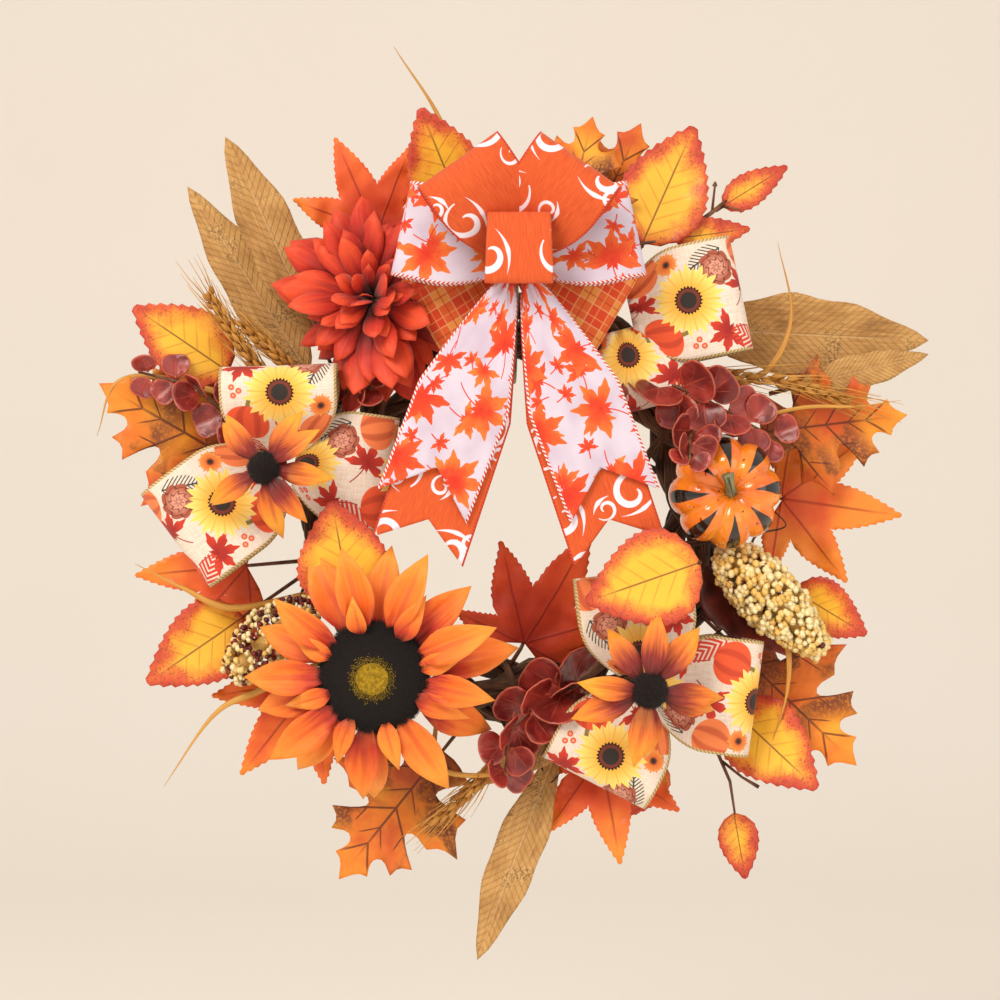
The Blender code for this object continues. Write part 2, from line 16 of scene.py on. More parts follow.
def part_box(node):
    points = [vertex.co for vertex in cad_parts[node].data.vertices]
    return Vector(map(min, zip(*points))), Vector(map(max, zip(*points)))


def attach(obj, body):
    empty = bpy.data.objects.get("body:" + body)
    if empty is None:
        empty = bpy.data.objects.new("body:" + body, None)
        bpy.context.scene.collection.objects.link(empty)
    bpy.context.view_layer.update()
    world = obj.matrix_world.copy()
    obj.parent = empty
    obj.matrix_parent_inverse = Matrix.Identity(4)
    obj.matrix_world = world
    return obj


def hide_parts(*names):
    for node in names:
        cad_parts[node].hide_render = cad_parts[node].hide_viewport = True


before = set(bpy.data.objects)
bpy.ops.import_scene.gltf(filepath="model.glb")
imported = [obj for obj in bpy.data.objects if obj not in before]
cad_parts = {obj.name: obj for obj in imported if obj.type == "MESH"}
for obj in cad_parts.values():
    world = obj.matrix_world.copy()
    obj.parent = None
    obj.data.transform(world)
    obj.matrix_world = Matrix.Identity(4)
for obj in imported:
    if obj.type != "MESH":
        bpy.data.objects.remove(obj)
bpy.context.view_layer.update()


# ---- Grapevine ring ----
# Three strands of dry grapevine, each a handful of thin stems laid together and twisted, with
# one thin vine wound round the lot to hold them. The bark is dark, ridged and knuckled.
class Wire:
    """A shader number or colour on its way through a material's nodes."""

    def __init__(self, look, socket):
        self.look = look
        self.socket = socket

    def math(self, operation, *others):
        return self.look.node("Math", {"operation": operation}, dict(enumerate((self, *others))))

    def most(self, other):
        return self.math("MAXIMUM", other)

    def part(self):
        """What is left over the last whole number."""
        return self.math("FRACT")

    def sine(self):
        return self.math("SINE")

    def cosine(self):
        return self.math("COSINE")

    def __add__(self, other):
        return self.math("ADD", other)

    def __sub__(self, other):
        return self.math("SUBTRACT", other)

    def __rsub__(self, other):
        return self.look.node("Math", {"operation": "SUBTRACT"}, {0: other, 1: self})

    def __mul__(self, other):
        return self.math("MULTIPLY", other)

    def __truediv__(self, other):
        return self.math("DIVIDE", other)

    def __pow__(self, other):
        return self.math("POWER", other)

    __radd__ = __add__
    __rmul__ = __mul__

    def size(self):
        return self.math("ABSOLUTE")

    def rise(self, low, high):
        """0 below low, 1 above high, and smooth between them."""
        return self.look.node("MapRange", {"interpolation_type": "SMOOTHSTEP"},
                              {"Value": self, "From Min": low, "From Max": high})

    def fall(self, low, high):
        return 1 - self.rise(low, high)


class Look:
    """A material: its one Principled shader, and the nodes that paint it."""

    def __init__(self, name, roughness, **sockets):
        self.material = bpy.data.materials.new(name)
        self.material.use_nodes = True
        self.tree = self.material.node_tree
        self.shader = self.tree.nodes["Principled BSDF"]
        self.shader.inputs["Roughness"].default_value = roughness
        for socket, value in sockets.items():
            self.shader.inputs[socket.replace("_", " ")].default_value = value

    def node(self, kind, settings=None, inputs=None, out=0):
        made = self.tree.nodes.new("ShaderNode" + kind)
        for name, value in (settings or {}).items():
            if name == "stops":
                while len(made.color_ramp.elements) < len(value):
                    made.color_ramp.elements.new(1.0)
                for stop, (place, dye) in zip(made.color_ramp.elements, value):
                    stop.position, stop.color = place, rgb(dye)
            else:
                setattr(made, name, value)
        for key, value in (inputs or {}).items():
            if isinstance(value, Wire):
                self.tree.links.new(value.socket, made.inputs[key])
            else:
                made.inputs[key].default_value = rgb(value) if isinstance(value, str) else value
        return Wire(self, made.outputs[out])

    def plan(self):
        """The two coordinates laid out on the piece."""
        both = self.node("UVMap", {"uv_map": "plan"})
        return self.node("SeparateXYZ", {}, {0: both}), self.node("SeparateXYZ", {}, {0: both}, 1)

    def trait(self, name):
        """A number that the mesh carries at each of its points."""
        return self.node("Attribute", {"attribute_name": name}, out=2)

    def noise(self, scale, detail=3.0, along=None):
        """Cloudy noise through space, or over the coordinates in along."""
        if along:
            place = self.node("CombineXYZ", {}, dict(enumerate(along)))
        else:
            place = self.node("TexCoord", out=3)
        return self.node("TexNoise", {}, {"Vector": place, "Scale": scale, "Detail": detail,
                                          "Roughness": 0.55})

    def ramp(self, value, *stops):
        return self.node("ValToRGB", {"stops": stops}, {0: value})

    def mix(self, share, below, above):
        return self.node("Mix", {"data_type": "RGBA"}, {0: share, 6: below, 7: above}, out=2)

    def over(self, body, *coats):
        """The body with coats of dye on top, each given as its share and its colour."""
        for share, dye in coats:
            body = self.mix(share, body, dye)
        return body

    def paint(self, colour, height=None, relief=0.0003, strength=0.6, roughness=None):
        self.tree.links.new(colour.socket, self.shader.inputs["Base Color"])
        if roughness:
            self.tree.links.new(roughness.socket, self.shader.inputs["Roughness"])
        if height:
            bump = self.node("Bump", {}, {"Height": height, "Distance": relief,
                                          "Strength": strength})
            self.tree.links.new(bump.socket, self.shader.inputs["Normal"])
        return self


def rgb(code):
    """A dye's colour, from its six-figure display code; the nodes take such a code as it is."""
    parts = [int(code[k:k + 2], 16) / 255 for k in (0, 2, 4)]
    return tuple(c / 12.92 if c < 0.04045 else ((c + 0.055) / 1.055) ** 2.4 for c in parts) + (1.0,)


class Craft:
    """Shapes gathered into one piece, which then rides on a body of the wreath."""

    def __init__(self):
        self.points, self.faces, self.plans, self.rims, self.tones = [], [], [], [], []

    def add(self, shape, place=Matrix.Identity(4), tone=0.5):
        """shape is points, faces, each face corner's plan, and each point's rim distance."""
        points, faces, plans, rims = shape
        first = len(self.points)
        self.points += [place @ Vector(p) for p in points]
        self.faces += [[first + k for k in face] for face in faces]
        self.plans += plans
        self.rims += rims
        self.tones += [tone] * len(points)

    def make(self, name, look, slot, *nodes, body="wreath", wall=0.0):
        mesh = bpy.data.meshes.new(name)
        mesh.from_pydata(self.points, [], self.faces)
        mesh.uv_layers.new(name="plan")
        flat = [c for plan in self.plans for corner in plan for c in corner]
        mesh.uv_layers["plan"].data.foreach_set("uv", flat)
        for trait, values in (("rim", self.rims), ("tone", self.tones)):
            mesh.attributes.new(trait, "FLOAT", "POINT").data.foreach_set("value", values)
        mesh.polygons.foreach_set("use_smooth", [True] * len(self.faces))
        mesh.materials.append(look.material)
        piece = bpy.data.objects.new(name, mesh)
        bpy.context.scene.collection.objects.link(piece)
        if wall:
            cloth = piece.modifiers.new("cloth", "SOLIDIFY")
            cloth.thickness = wall
            cloth.offset = 0.0
        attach(piece, body)
        if nodes:
            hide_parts(*nodes)
        return piece


def stem(path, sides=7, closed=False):
    """A round stem through path, a list of (point, radius)."""
    count = len(path)
    points, faces, plans, length = [], [], [], 0.0
    lengths = []
    side = None
    for k in range(count):
        before = path[k - 1][0] if closed or k else path[k][0]
        after = path[(k + 1) % count][0] if closed or k < count - 1 else path[k][0]
        along = (after - before).normalized()
        side = along.orthogonal() if side is None else side - along * side.dot(along)
        side.normalize()
        up = along.cross(side)
        lengths.append(length)
        length += (path[(k + 1) % count][0] - path[k][0]).length
        for j in range(sides):
            turn = 2 * pi * j / sides
            points.append(path[k][0] + (side * cos(turn) + up * sin(turn)) * path[k][1])
    shift = 0
    if closed:
        gaps = [(points[j] - points[(count - 1) * sides]).length for j in range(sides)]
        shift = gaps.index(min(gaps))
    girth = 2 * pi * max(r for p, r in path)
    lengths.append(length)
    for k in range(count if closed else count - 1):
        turn = shift if k == count - 1 else 0
        for j in range(sides):
            a, b = k * sides + j, k * sides + (j + 1) % sides
            row = (k + 1) % count * sides
            c, d = row + (j + 1 + turn) % sides, row + (j + turn) % sides
            faces.append((a, b, c, d))
            u, v = girth * j / sides, girth * (j + 1) / sides
            plans.append([(u, lengths[k]), (v, lengths[k]), (v, lengths[k + 1]),
                          (u, lengths[k + 1])])
    if not closed:
        for first, row in ((0, 0), ((count - 1) * sides, count - 1)):
            ring = list(range(first, first + sides))
            faces.append(ring[::-1] if row == 0 else ring)
            plans.append([(0.0, lengths[row])] * sides)
    return points, faces, plans, [0.0] * len(points)


def net(rows, columns, plan, wide, turned=False):
    """The faces of a net of points, with wide points in a row, and each corner's plan, from
    plan(place in the row, row). Where wide is the same as columns each row is a closed ring."""
    faces, plans = [], []
    for k in range(rows):
        for j in range(columns):
            corners = [(j, k), (j + 1, k), (j + 1, k + 1), (j, k + 1)]
            if turned:
                corners[1:] = corners[:0:-1]
            faces.append([n * wide + m % wide for m, n in corners])
            plans.append([plan(m, n) for m, n in corners])
    return faces, plans


FRONT = Vector((0.0, -1.0, 0.0))
strand_radius = 0.0085
strand_twists = 4
stems_in_strand = 4
stem_radius = 0.0037

strands = [f"vine_strand_{number}" for number in (1, 2, 3)]
lows, highs = zip(*[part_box(node) for node in strands])
ring_low = Vector([min(corner) for corner in zip(*lows)])
ring_high = Vector([max(corner) for corner in zip(*highs)])
ring_middle = (ring_low + ring_high) / 2
bundle_radius = (ring_high.y - ring_low.y) / 2
ring_radius = (ring_high.x - ring_low.x) / 2 - bundle_radius
chance = random.Random(7)


def radial(clock):
    """The way outwards at clock, in degrees anticlockwise from the right."""
    return Vector((cos(radians(clock)), 0.0, sin(radians(clock))))


def spot(clock, out, depth):
    """A place on the ring: clock is degrees anticlockwise from the right, out is the
    distance outside the ring's centre line, and depth is the distance in front of it."""
    return ring_middle + radial(clock) * (ring_radius + out) + FRONT * depth


def wound(turn, phase, offset):
    """A point of a vine that winds round the ring's centre line."""
    return spot(turn * 180 / pi, offset * cos(phase), offset * sin(phase))


def wander(place):
    """A small drift through space, the same in every run."""
    return Vector([noise.noise(place + Vector((shift, 0, 0))) for shift in (0.0, 17.3, 41.9)])


def knuckled(places, radius, closed=False):
    """A vine's path with its joints: each is a short swelling."""
    joints = sorted(chance.uniform(0, len(places)) for _ in range(max(2, len(places) // 22)))
    path = []
    for k, place in enumerate(places):
        near = min(abs(k - j) for j in joints)
        swell = 1 + 0.38 * 2.718 ** (-near ** 2) + 0.13 * noise.noise(place * 90)
        path.append((place, radius * swell))
    return stem(path, 8, closed)


bark = Look("vine_bark", 0.85)
across, along = bark.plan()
ridge = bark.noise(1.0, 4.0, (across * 900, along * 70, 0.0))
patch = bark.noise(55, 3.0)
peel = ridge.rise(0.52, 0.66)
brown = bark.mix(patch.rise(0.35, 0.65), "2e1c12", "5f4029")
bark.paint(bark.mix(peel * 0.55, brown, "a07f5f"), ridge + patch * 0.6, 0.0009, 0.9)

vines = Craft()
strand_offset = bundle_radius - strand_radius
inside = strand_radius - stem_radius
steps = 170
for number in range(len(strands)):
    for each in range(stems_in_strand):
        places = []
        for k in range(steps):
            turn = 2 * pi * k / steps
            place = wound(turn, strand_twists * turn + 2 * pi * number / 3, strand_offset)
            lay = -7 * turn + 2 * pi * each / stems_in_strand
            drift = wander(place * 40 + Vector((each, number, 0))) * 0.0012
            place += radial(turn * 180 / pi) * inside * cos(lay) + FRONT * inside * sin(lay) + drift
            places.append(place)
        vines.add(knuckled(places, stem_radius * chance.uniform(0.75, 1.08), True))
vines.make("vine_stems", bark, "vine_bark", *strands)

binding = Craft()
binding_turns = 9
binding_radius = 0.0022
steps = 260
places = []
for k in range(steps):
    turn = 2 * pi * k / steps
    places.append(wound(turn, -binding_turns * turn, bundle_radius + binding_radius + 0.0003))
binding.add(knuckled(places, binding_radius, True))
for clock, reach, rise in ((150, 0.050, 0.010), (-15, 0.046, 0.018), (33, 0.040, 0.012),
                           (-38, 0.045, 0.016), (-95, 0.050, 0.014), (196, 0.046, 0.012),
                           (118, 0.038, 0.010), (-8, -0.006, 0.012), (28, -0.004, 0.010)):
    tendril = []
    for k in range(26):
        t = k / 25
        curl = 9 * t * t
        out = bundle_radius * 0.6 + (reach - bundle_radius * 0.6) * t
        place = spot(clock + 14 * t, out, 0.014 + rise * sin(3 * t))
        place += (radial(clock) * cos(curl) + FRONT * sin(curl)) * 0.006 * t
        tendril.append((place, 0.0012 * (1 - 0.7 * t)))
    binding.add(stem(tendril, 6))
binding.make("binding_vine_and_tendrils", bark, "vine_bark", "binding_vine")


# ---- Hanger and tie wire ----
# Annealed steel wire with a dull grey-brown film. One length goes once round the vines and
# ends in a round eye; a shorter one ties the bow down. Both keep the frame's own shape.
steel = Look("annealed_wire", 0.42, Metallic=0.85)
film = steel.noise(260, 3.0)
steel.paint(steel.mix(film.rise(0.4, 0.65), "6e6a62", "8d867a"), film, 0.0001, 0.4,
            film.rise(0.3, 0.7) * 0.2 + 0.35)
for node in ("hanger_loop", "bow_tie_wire"):
    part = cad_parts[node]
    part.data.materials.clear()
    part.data.materials.append(steel.material)
    part.data.polygons.foreach_set("use_smooth", [True] * len(part.data.polygons))


# ---- Autumn leaves ----
# Stiffened cloth, die-cut to shape, printed on the face and back, and glued to a moulded
# stalk. Each stalk is a wired pick that is pushed into the vines.
leaf_wall = 0.0005
stalks = Craft()


def twig(places, radii, sides=6):
    """A stalk through places, with a radius at each."""
    stalks.add(stem(list(zip(places, radii)), sides))


def basis(origin, ahead, face):
    """A piece's place: +Y runs along it, +Z is its face, and +X is across."""
    y = ahead.normalized()
    x = y.cross(face).normalized()
    made = Matrix((x, y, x.cross(y))).transposed().to_4x4()
    made.translation = origin
    return made


def leaf_place(node):
    """A frame leaf's own place, from the foot of its stalk, and its length to the tip."""
    points = np.array([v.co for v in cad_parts[node].data.vertices])
    flat = np.linalg.svd(points - points.mean(0), full_matrices=False)[2][2]
    face = Vector(flat if flat[1] < 0 else -flat)
    from_ring = points - np.array(ring_middle)
    away = np.hypot(np.hypot(from_ring[:, 0], from_ring[:, 2]) - ring_radius, from_ring[:, 1])
    near = points[np.argmin(away)]
    foot = points[np.linalg.norm(points - near, axis=1) < 0.0036].mean(0)
    tip = points[np.argmax(np.linalg.norm(points - foot, axis=1))]
    ahead = Vector(tip - foot)
    return basis(Vector(foot), ahead, face), ahead.length


def whole(side):
    """A closed outline from its right-hand side, given from foot to tip."""
    return [Vector(p) for p in side] + [Vector((-x, y)) for x, y in reversed(side) if x > 0.0001]


def softened(side, rounds=2):
    """The side with its corners cut, apart from those marked with a third value."""
    side = [(*p, 0)[:3] for p in side]
    for _ in range(rounds):
        cut = [side[0]]
        for a, b, c in zip(side, side[1:], side[2:]):
            if b[2]:
                cut.append(b)
            else:
                cut.append((b[0] * 0.75 + a[0] * 0.25, b[1] * 0.75 + a[1] * 0.25, 0))
                cut.append((b[0] * 0.75 + c[0] * 0.25, b[1] * 0.75 + c[1] * 0.25, 0))
        side = cut + [side[-1]]
    return [p[:2] for p in side]


def toothed(side, depth):
    """The side with one small tooth on each stretch, leaning away from the foot."""
    made = []
    for (ax, ay), (bx, by) in zip(side, side[1:]):
        run = hypot(bx - ax, by - ay)
        lean = 0.68 if hypot(bx, by) > hypot(ax, ay) else 0.32
        size = min(depth, 0.4 * run)
        made.append((ax, ay))
        made.append((ax + (bx - ax) * lean + (by - ay) / run * size,
                     ay + (by - ay) * lean - (bx - ax) / run * size))
    return made + [side[-1]]


def birch_side(width, steps=13):
    """Widest near the foot, with a drawn-out tip; everything is in leaf lengths."""
    side = [(0.012, 0.0)]
    for k in range(1, steps):
        t = k / steps
        side.append((width / 2 * sin(pi * t ** 0.72) ** 0.85 * (1 - 0.16 * t), t))
    return toothed(side + [(0.0, 1.0)], 0.022)


def oak_side(width):
    """Three pairs of lobes, each with two or three points."""
    lobes = [(0.03, 0.0), (0.25, 0.00), (0.56, 0.06, 1), (0.44, 0.12), (0.30, 0.20), (0.30, 0.25),
             (0.62, 0.25), (0.82, 0.24, 1), (0.80, 0.34), (1.06, 0.46, 1), (0.80, 0.47),
             (0.66, 0.53, 1), (0.40, 0.50), (0.30, 0.54), (0.42, 0.60), (0.68, 0.68, 1),
             (0.52, 0.72), (0.50, 0.79, 1), (0.30, 0.74), (0.20, 0.77), (0.20, 0.82),
             (0.27, 0.88, 1), (0.14, 0.90), (0.0, 1.0, 1)]
    return softened([(x * width / 2, *rest) for x, *rest in lobes], 1)


def fingered_side(fingers, girth=0.155, root=0.40, steps=8):
    """Narrow toothed fingers that fan from the top of the stalk, the lowest one first."""
    side = [(0.012, 0.0)]
    for angle, reach in fingers:
        ahead = Vector((sin(radians(angle)), cos(radians(angle))))
        aside = Vector((ahead.y, -ahead.x))
        there = [root + (1 - root) * k / steps for k in range(steps + 1)]
        for t in there:
            side.append(ahead * reach * t + aside * girth * reach * sin(pi * t ** 0.8))
        if angle:
            for t in there[-2::-1]:
                side.append(ahead * reach * t - aside * girth * reach * sin(pi * t ** 0.8))
    side[-1] = (0.0, 1.0)
    return toothed([tuple(p) for p in side], 0.014)


def leaf_shape(side, length, lift, spacing=0.0026):
    """The outline filled with small triangles and raised by lift(x, y). Its plan is in
    leaf lengths, and each point knows its distance from the edge in metres."""
    outline = [p * length for p in whole(side)]
    edge = np.array([tuple(p) for p in outline])
    ahead = np.roll(edge, -1, 0) - edge

    def from_edge(points):
        gap = points[:, None] - edge[None]
        t = np.clip((gap * ahead).sum(2) / (ahead ** 2).sum(1), 0, 1)
        return np.linalg.norm(gap - t[..., None] * ahead, axis=2).min(1)

    low, high = edge.min(0), edge.max(0)
    grid = np.stack(np.meshgrid(np.arange(low[0], high[0], spacing),
                                np.arange(low[1], high[1], spacing)), -1).reshape(-1, 2)
    grid[::2, 1] += spacing / 2
    inside = np.zeros(len(grid), bool)
    for (x, y), (dx, dy) in zip(edge, ahead):
        if abs(dy) > 1e-12:
            t = (grid[:, 1] - y) / dy
            inside ^= (t >= 0) & (t < 1) & (grid[:, 0] < x + t * dx)
    grid = grid[inside]
    grid = grid[from_edge(grid) > 0.45 * spacing]
    count = len(outline)
    edges = [(k, (k + 1) % count) for k in range(count)]
    filled = delaunay_2d_cdt(outline + [Vector(p) for p in grid], edges, [], 1, 1e-7)
    flat, faces = filled[0], filled[2]
    rims = from_edge(np.array([tuple(p) for p in flat])).tolist()
    plans = [[(flat[k].x / length, flat[k].y / length) for k in face] for face in faces]
    return [(p.x, p.y, lift(p.x / length, p.y / length) * length) for p in flat], faces, plans, rims


def cupped(fold=0.16, droop=0.10, ripple=0.016, seed=0.0):
    """A leaf's hollow: folded a little on its midrib, drooping to the tip, and rippled."""
    def lift(x, y):
        wave = noise.noise(Vector((x * 5, y * 5, seed)))
        spread = 0.3 + 3 * abs(x)
        return fold * (sqrt(x * x + 0.0009) - 0.03) - droop * y * y + ripple * wave * spread
    return lift


def place_leaf(craft, side, place, length, stalk, lift, tone=0.5):
    """One leaf on its stalk, which starts in the vines and runs on under the midrib."""
    craft.add(leaf_shape(side, length, lift), place @ Matrix.Translation((0, stalk, 0)), tone)
    path = [((0, -0.012, 0), 0.0013), ((0, 0, 0), 0.0012), ((0, stalk * 0.5, 0), 0.0011)]
    for t in (0.0, 0.15, 0.3, 0.45):
        path.append(((0, stalk + t * length, lift(0, t) * length - 0.0013), 0.0010 * (1 - t)))
    stalks.add(stem([(place @ Vector(p), r) for p, r in path], 6), tone=tone)


def lay_leaves(look, slot, hollow, seed, rows):
    """Leaves in place of the frame's own. Each row is a node, its stalk's length, its outline
    and its tone."""
    for number, (node, stalk, side, tone) in enumerate(rows):
        leaf = Craft()
        place, reach = leaf_place(node)
        place_leaf(leaf, side, place, reach - stalk, stalk, cupped(*hollow, seed + number), tone)
        leaf.make(f"{node}_look", look, slot, node, wall=leaf_wall)


def ray_gap(x, y, foot, tip):
    """Distance from a vein that runs from foot to tip, and how far along it, 0 to 1."""
    dx, dy = tip[0] - foot[0], tip[1] - foot[1]
    run = hypot(dx, dy)
    gap = ((x - foot[0]) * (dy / run) - (y - foot[1]) * (dx / run)).size()
    return gap, ((x - foot[0]) * (dx / run) + (y - foot[1]) * (dy / run)) / run


def vein(x, y, foot, tip, width):
    """A thin line from foot to tip that tapers to nothing."""
    gap, t = ray_gap(x, y, foot, tip)
    return gap.fall(width * 0.3, width) * t.rise(-0.02, 0.02) * t.fall(0.6, 1.0)


# Toothed birch leaves: golden in the middle, brick red at the edge, speckled between.
birch = Look("birch_leaf_print", 0.62, Coat_Weight=0.08)
x, y = birch.plan()
side = x.size()
cloud = birch.noise(75, 3.0)
fine = birch.noise(900, 2.0)
into = (birch.trait("rim") * 88 + (cloud - 0.5) * 1.5 + (1 - y) * 0.25 - 0.1)
body = birch.ramp(into, (0.0, "c2402a"), (0.30, "d85f2c"), (0.62, "ee9a2e"),
                  (1.0, "f6bb32"))
speckle = fine.rise(0.56, 0.62) * into.fall(0.35, 0.95) * 0.7
herring = ((y * 7.5 - side * 6.0).part() - 0.5).size().fall(0.03, 0.10)
herring = herring * side.rise(0.0, 0.02) * (side / 0.3).fall(0.3, 1.0)
midrib = vein(x, y, (0, 0), (0, 1.0), 0.011)
body = birch.over(body, (speckle, "8e2f1a"), (herring * 0.35, "b4661c"), (midrib * 0.8, "6d3a18"))
birch.paint(body, fine * 0.3 + herring * 0.7 + midrib, 0.0004, 0.6)

birch_full = birch_side(0.72)
birch_slim = birch_side(0.46, 9)
lay_leaves(birch, "birch_leaf", (0.20, 0.06, 0.016), 0, [
    (f"birch_leaf_{word}", stalk, birch_full, 0.5) for word, stalk in (
        ("top", 0.045), ("upper_left", 0.052), ("lower_left", 0.040), ("low", 0.038),
        ("right", 0.036))])

# Two birch leaves stand in front of the ribbon on their own wires.
for node, clock, out, depth, aim, length, width in (
        ("birch_leaf_over_left", -150, 0.002, 0.0635, 100, 0.057, 0.90),
        ("birch_leaf_over_low", -16, -0.002, 0.0825, 199, 0.063, 0.84)):
    leaf = Craft()
    foot = spot(clock, out, depth)
    place = basis(foot, radial(aim), FRONT)
    lift = cupped(0.14, -0.06, seed=clock)
    leaf.add(leaf_shape(birch_side(width), length, lift), place)
    leaf.make(f"{node}_look", birch, "birch_leaf", node, wall=leaf_wall)
    wire = [spot(clock, 0.0, 0.018), spot(clock, out * 0.5, depth * 0.6), foot + FRONT * 0.001]
    wire += [place @ Vector((0, t * length, lift(0, t) * length - 0.0012)) for t in (0.03, 0.07)]
    twig(wire, (0.0013, 0.0012, 0.0011, 0.0008, 0.0004))

# The high spray: one wired twig with a full leaf, slim ones, and buds on side twigs.
spray = Craft()
twig([spot(66, 0.012, 0.012), spot(65, 0.060, 0.026), spot(60, 0.070, 0.026),
      spot(57, 0.092, 0.026), spot(56, 0.103, 0.026)], (0.0015, 0.0014, 0.0013, 0.0012, 0.0010))
for foot, aim, length, outline, seed in (
        ((65, 0.060, 0.026), 66, 0.070, birch_full, 11),
        ((56, 0.099, 0.026), 32, 0.042, birch_slim, 12),
        ((60, 0.070, 0.026), 8, 0.042, birch_slim, 13),
        ((58, 0.040, 0.030), -8, 0.034, birch_slim, 14)):
    place, lift = basis(spot(*foot), radial(aim), FRONT), cupped(0.2, 0.05, seed=seed)
    spray.add(leaf_shape(outline, length, lift), place)
    stalks.add(stem([(place @ Vector((0, t * length, lift(0, t) * length - 0.0016)),
                      0.0009 - 0.0006 * t)
                     for t in (-0.1, 0.05, 0.16)], 5))
for foot, aim, length in (((60, 0.074, 0.026), 74, 0.018), ((60, 0.080, 0.026), 22, 0.010),
                          ((57, 0.094, 0.026), 84, 0.016), ((56, 0.099, 0.026), -12, 0.012)):
    start = spot(*foot)
    end = start + radial(aim) * length
    twig([start, start.lerp(end, 0.8) + FRONT * 0.001, start.lerp(end, 0.86), end],
         (0.0008, 0.0006, 0.0015, 0.0004))
spray.make("birch_spray_look", birch, "birch_leaf", "birch_spray_high", wall=leaf_wall)

# The low twig hangs below the ribbon with one small leaf and two buds.
hanging = Craft()
twig([spot(-48, 0.030, 0.020), spot(-50, 0.066, 0.022), spot(-52, 0.088, 0.022),
      spot(-54.5, 0.104, 0.022)], (0.0012, 0.0011, 0.0009, 0.0006))
twig([spot(-51, 0.075, 0.022), spot(-50, 0.090, 0.024), spot(-49, 0.100, 0.024)],
     (0.0009, 0.0008, 0.0012))
for foot, aim, length, outline, seed in (
        ((-54.5, 0.103, 0.022), -80, 0.037, birch_side(0.62, 8), 21),
        ((-60, 0.062, 0.016), -128, 0.036, birch_side(0.55, 9), 22)):
    place = basis(spot(*foot), radial(aim), FRONT)
    hanging.add(leaf_shape(outline, length, cupped(0.2, 0.05, seed=seed)), place)
hanging.make("birch_low_twig", birch, "birch_leaf", wall=leaf_wall)

# Lobed oak leaves: gold and orange with brown clouds, painted brown shade patches by the main side
# veins, and dark forked veins.
oak = Look("oak_leaf_print", 0.62, Coat_Weight=0.08)
x, y = oak.plan()
side = x.size()
cloud = oak.noise(42, 3.0)
drift = oak.noise(20, 2.0)
fine = oak.noise(650, 3.0)
body = oak.ramp(cloud + (drift - 0.5) * 0.8, (0.25, "cf5616"), (0.45, "e8801c"),
                (0.62, "f0981f"), (0.8, "f5ac2a"))
root = (y + side * 0.4 + (cloud - 0.5) * 0.6).fall(0.05, 0.50)
veins = vein(x, y, (0, 0), (0, 0.93), 0.011)
for foot, tip in (((0, 0.05), (0.24, 0.08)), ((0, 0.14), (0.46, 0.46)), ((0, 0.45), (0.30, 0.68)),
                  ((0, 0.72), (0.12, 0.88))):
    veins = veins.most(vein(side, y, foot, tip, 0.009))
for foot, tip in (((0.16, 0.26), (0.34, 0.27)), ((0.24, 0.32), (0.27, 0.48)),
                  ((0.14, 0.56), (0.15, 0.68)), ((0.0, 0.30), (0.13, 0.42)),
                  ((0.0, 0.60), (0.10, 0.72)), ((0.32, 0.37), (0.36, 0.33))):
    veins = veins.most(vein(side, y, foot, tip, 0.006))
# Painted shade: brown patches in clouds along the two main side veins and their lobes.
about = ray_gap(side, y, (0, 0.14), (0.46, 0.46))[0].fall(0.05, 0.25) * y.fall(0.55, 0.85)
about = about.most(ray_gap(side, y, (0, 0.45), (0.30, 0.68))[0].fall(0.04, 0.20) * y.rise(0.4, 0.6))
painted_shade_patch = cloud.rise(0.42, 0.53) * about * (fine.rise(0.34, 0.54) * 0.45 + 0.5)
body = oak.over(body, (root * 0.85, "8f3414"), (painted_shade_patch, "743614"), (veins * 0.85, "5b2510"))
oak.paint(body, fine * 0.25 + veins, 0.0005, 0.6)
oak_full = oak_side(0.92)
lay_leaves(oak, "oak_leaf", (0.12, 0.07, 0.03), 30, [
    (f"oak_leaf_{word}", stalk, oak_full, 0.5) for word, stalk in (
        ("left", 0.024), ("top", 0.018), ("right", 0.016), ("bottom", 0.014), ("low", 0.018))])
second = Craft()
place_leaf(second, oak_full, basis(spot(81, 0.040, 0.031), radial(76), FRONT), 0.072, 0.006,
           cupped(0.12, 0.07, 0.03, 44))
second.make("oak_leaf_behind_bow", oak, "oak_leaf", wall=leaf_wall)

# Fingered maple leaves: red-orange with lighter fingers, each with its own crease.
maple = Look("maple_leaf_print", 0.62, Coat_Weight=0.08)
x, y = maple.plan()
side = x.size()
cloud = maple.noise(38, 3.0)
fine = maple.noise(700, 3.0)
reach = (x * x + y * y) ** 0.5
body = maple.ramp(cloud * 0.8 + reach * 0.25 + maple.trait("tone") * 0.45 - 0.08, (0.22, "b52b14"),
                  (0.45, "d94a20"),
                  (0.62, "ea6426"), (0.82, "f28a28"))
body = maple.mix(reach.fall(0.05, 0.45) * 0.45, body, "a3200f")
crease = vein(x, y, (0, 0), (0, 1.0), 0.014)
fan = ((0, 1.0), (44, 0.88), (90, 0.64))
for angle, length in fan[1:]:
    tip = (length * sin(radians(angle)), length * cos(radians(angle)))
    crease = crease.most(vein(side, y, (0, 0), tip, 0.013))
body = maple.mix(crease * 0.6, body, "8f1c0e")
maple.paint(body, fine * 0.3 + crease, 0.0005, 0.6)
maple_full = fingered_side([(90, 0.64), (44, 0.88), (0, 1.0)], 0.185, 0.50)
lay_leaves(maple, "maple_leaf", (0.10, 0.08, 0.05), 50, [
    (f"maple_leaf_{word}", stalk, maple_full, tone) for word, stalk, tone in (
        ("top", 0.046, 0.35), ("right", 0.020, 0.75), ("left", 0.026, 0.40), ("low", 0.022, 0.35),
        ("bottom", 0.018, 0.35), ("inner", 0.006, 0.05))])

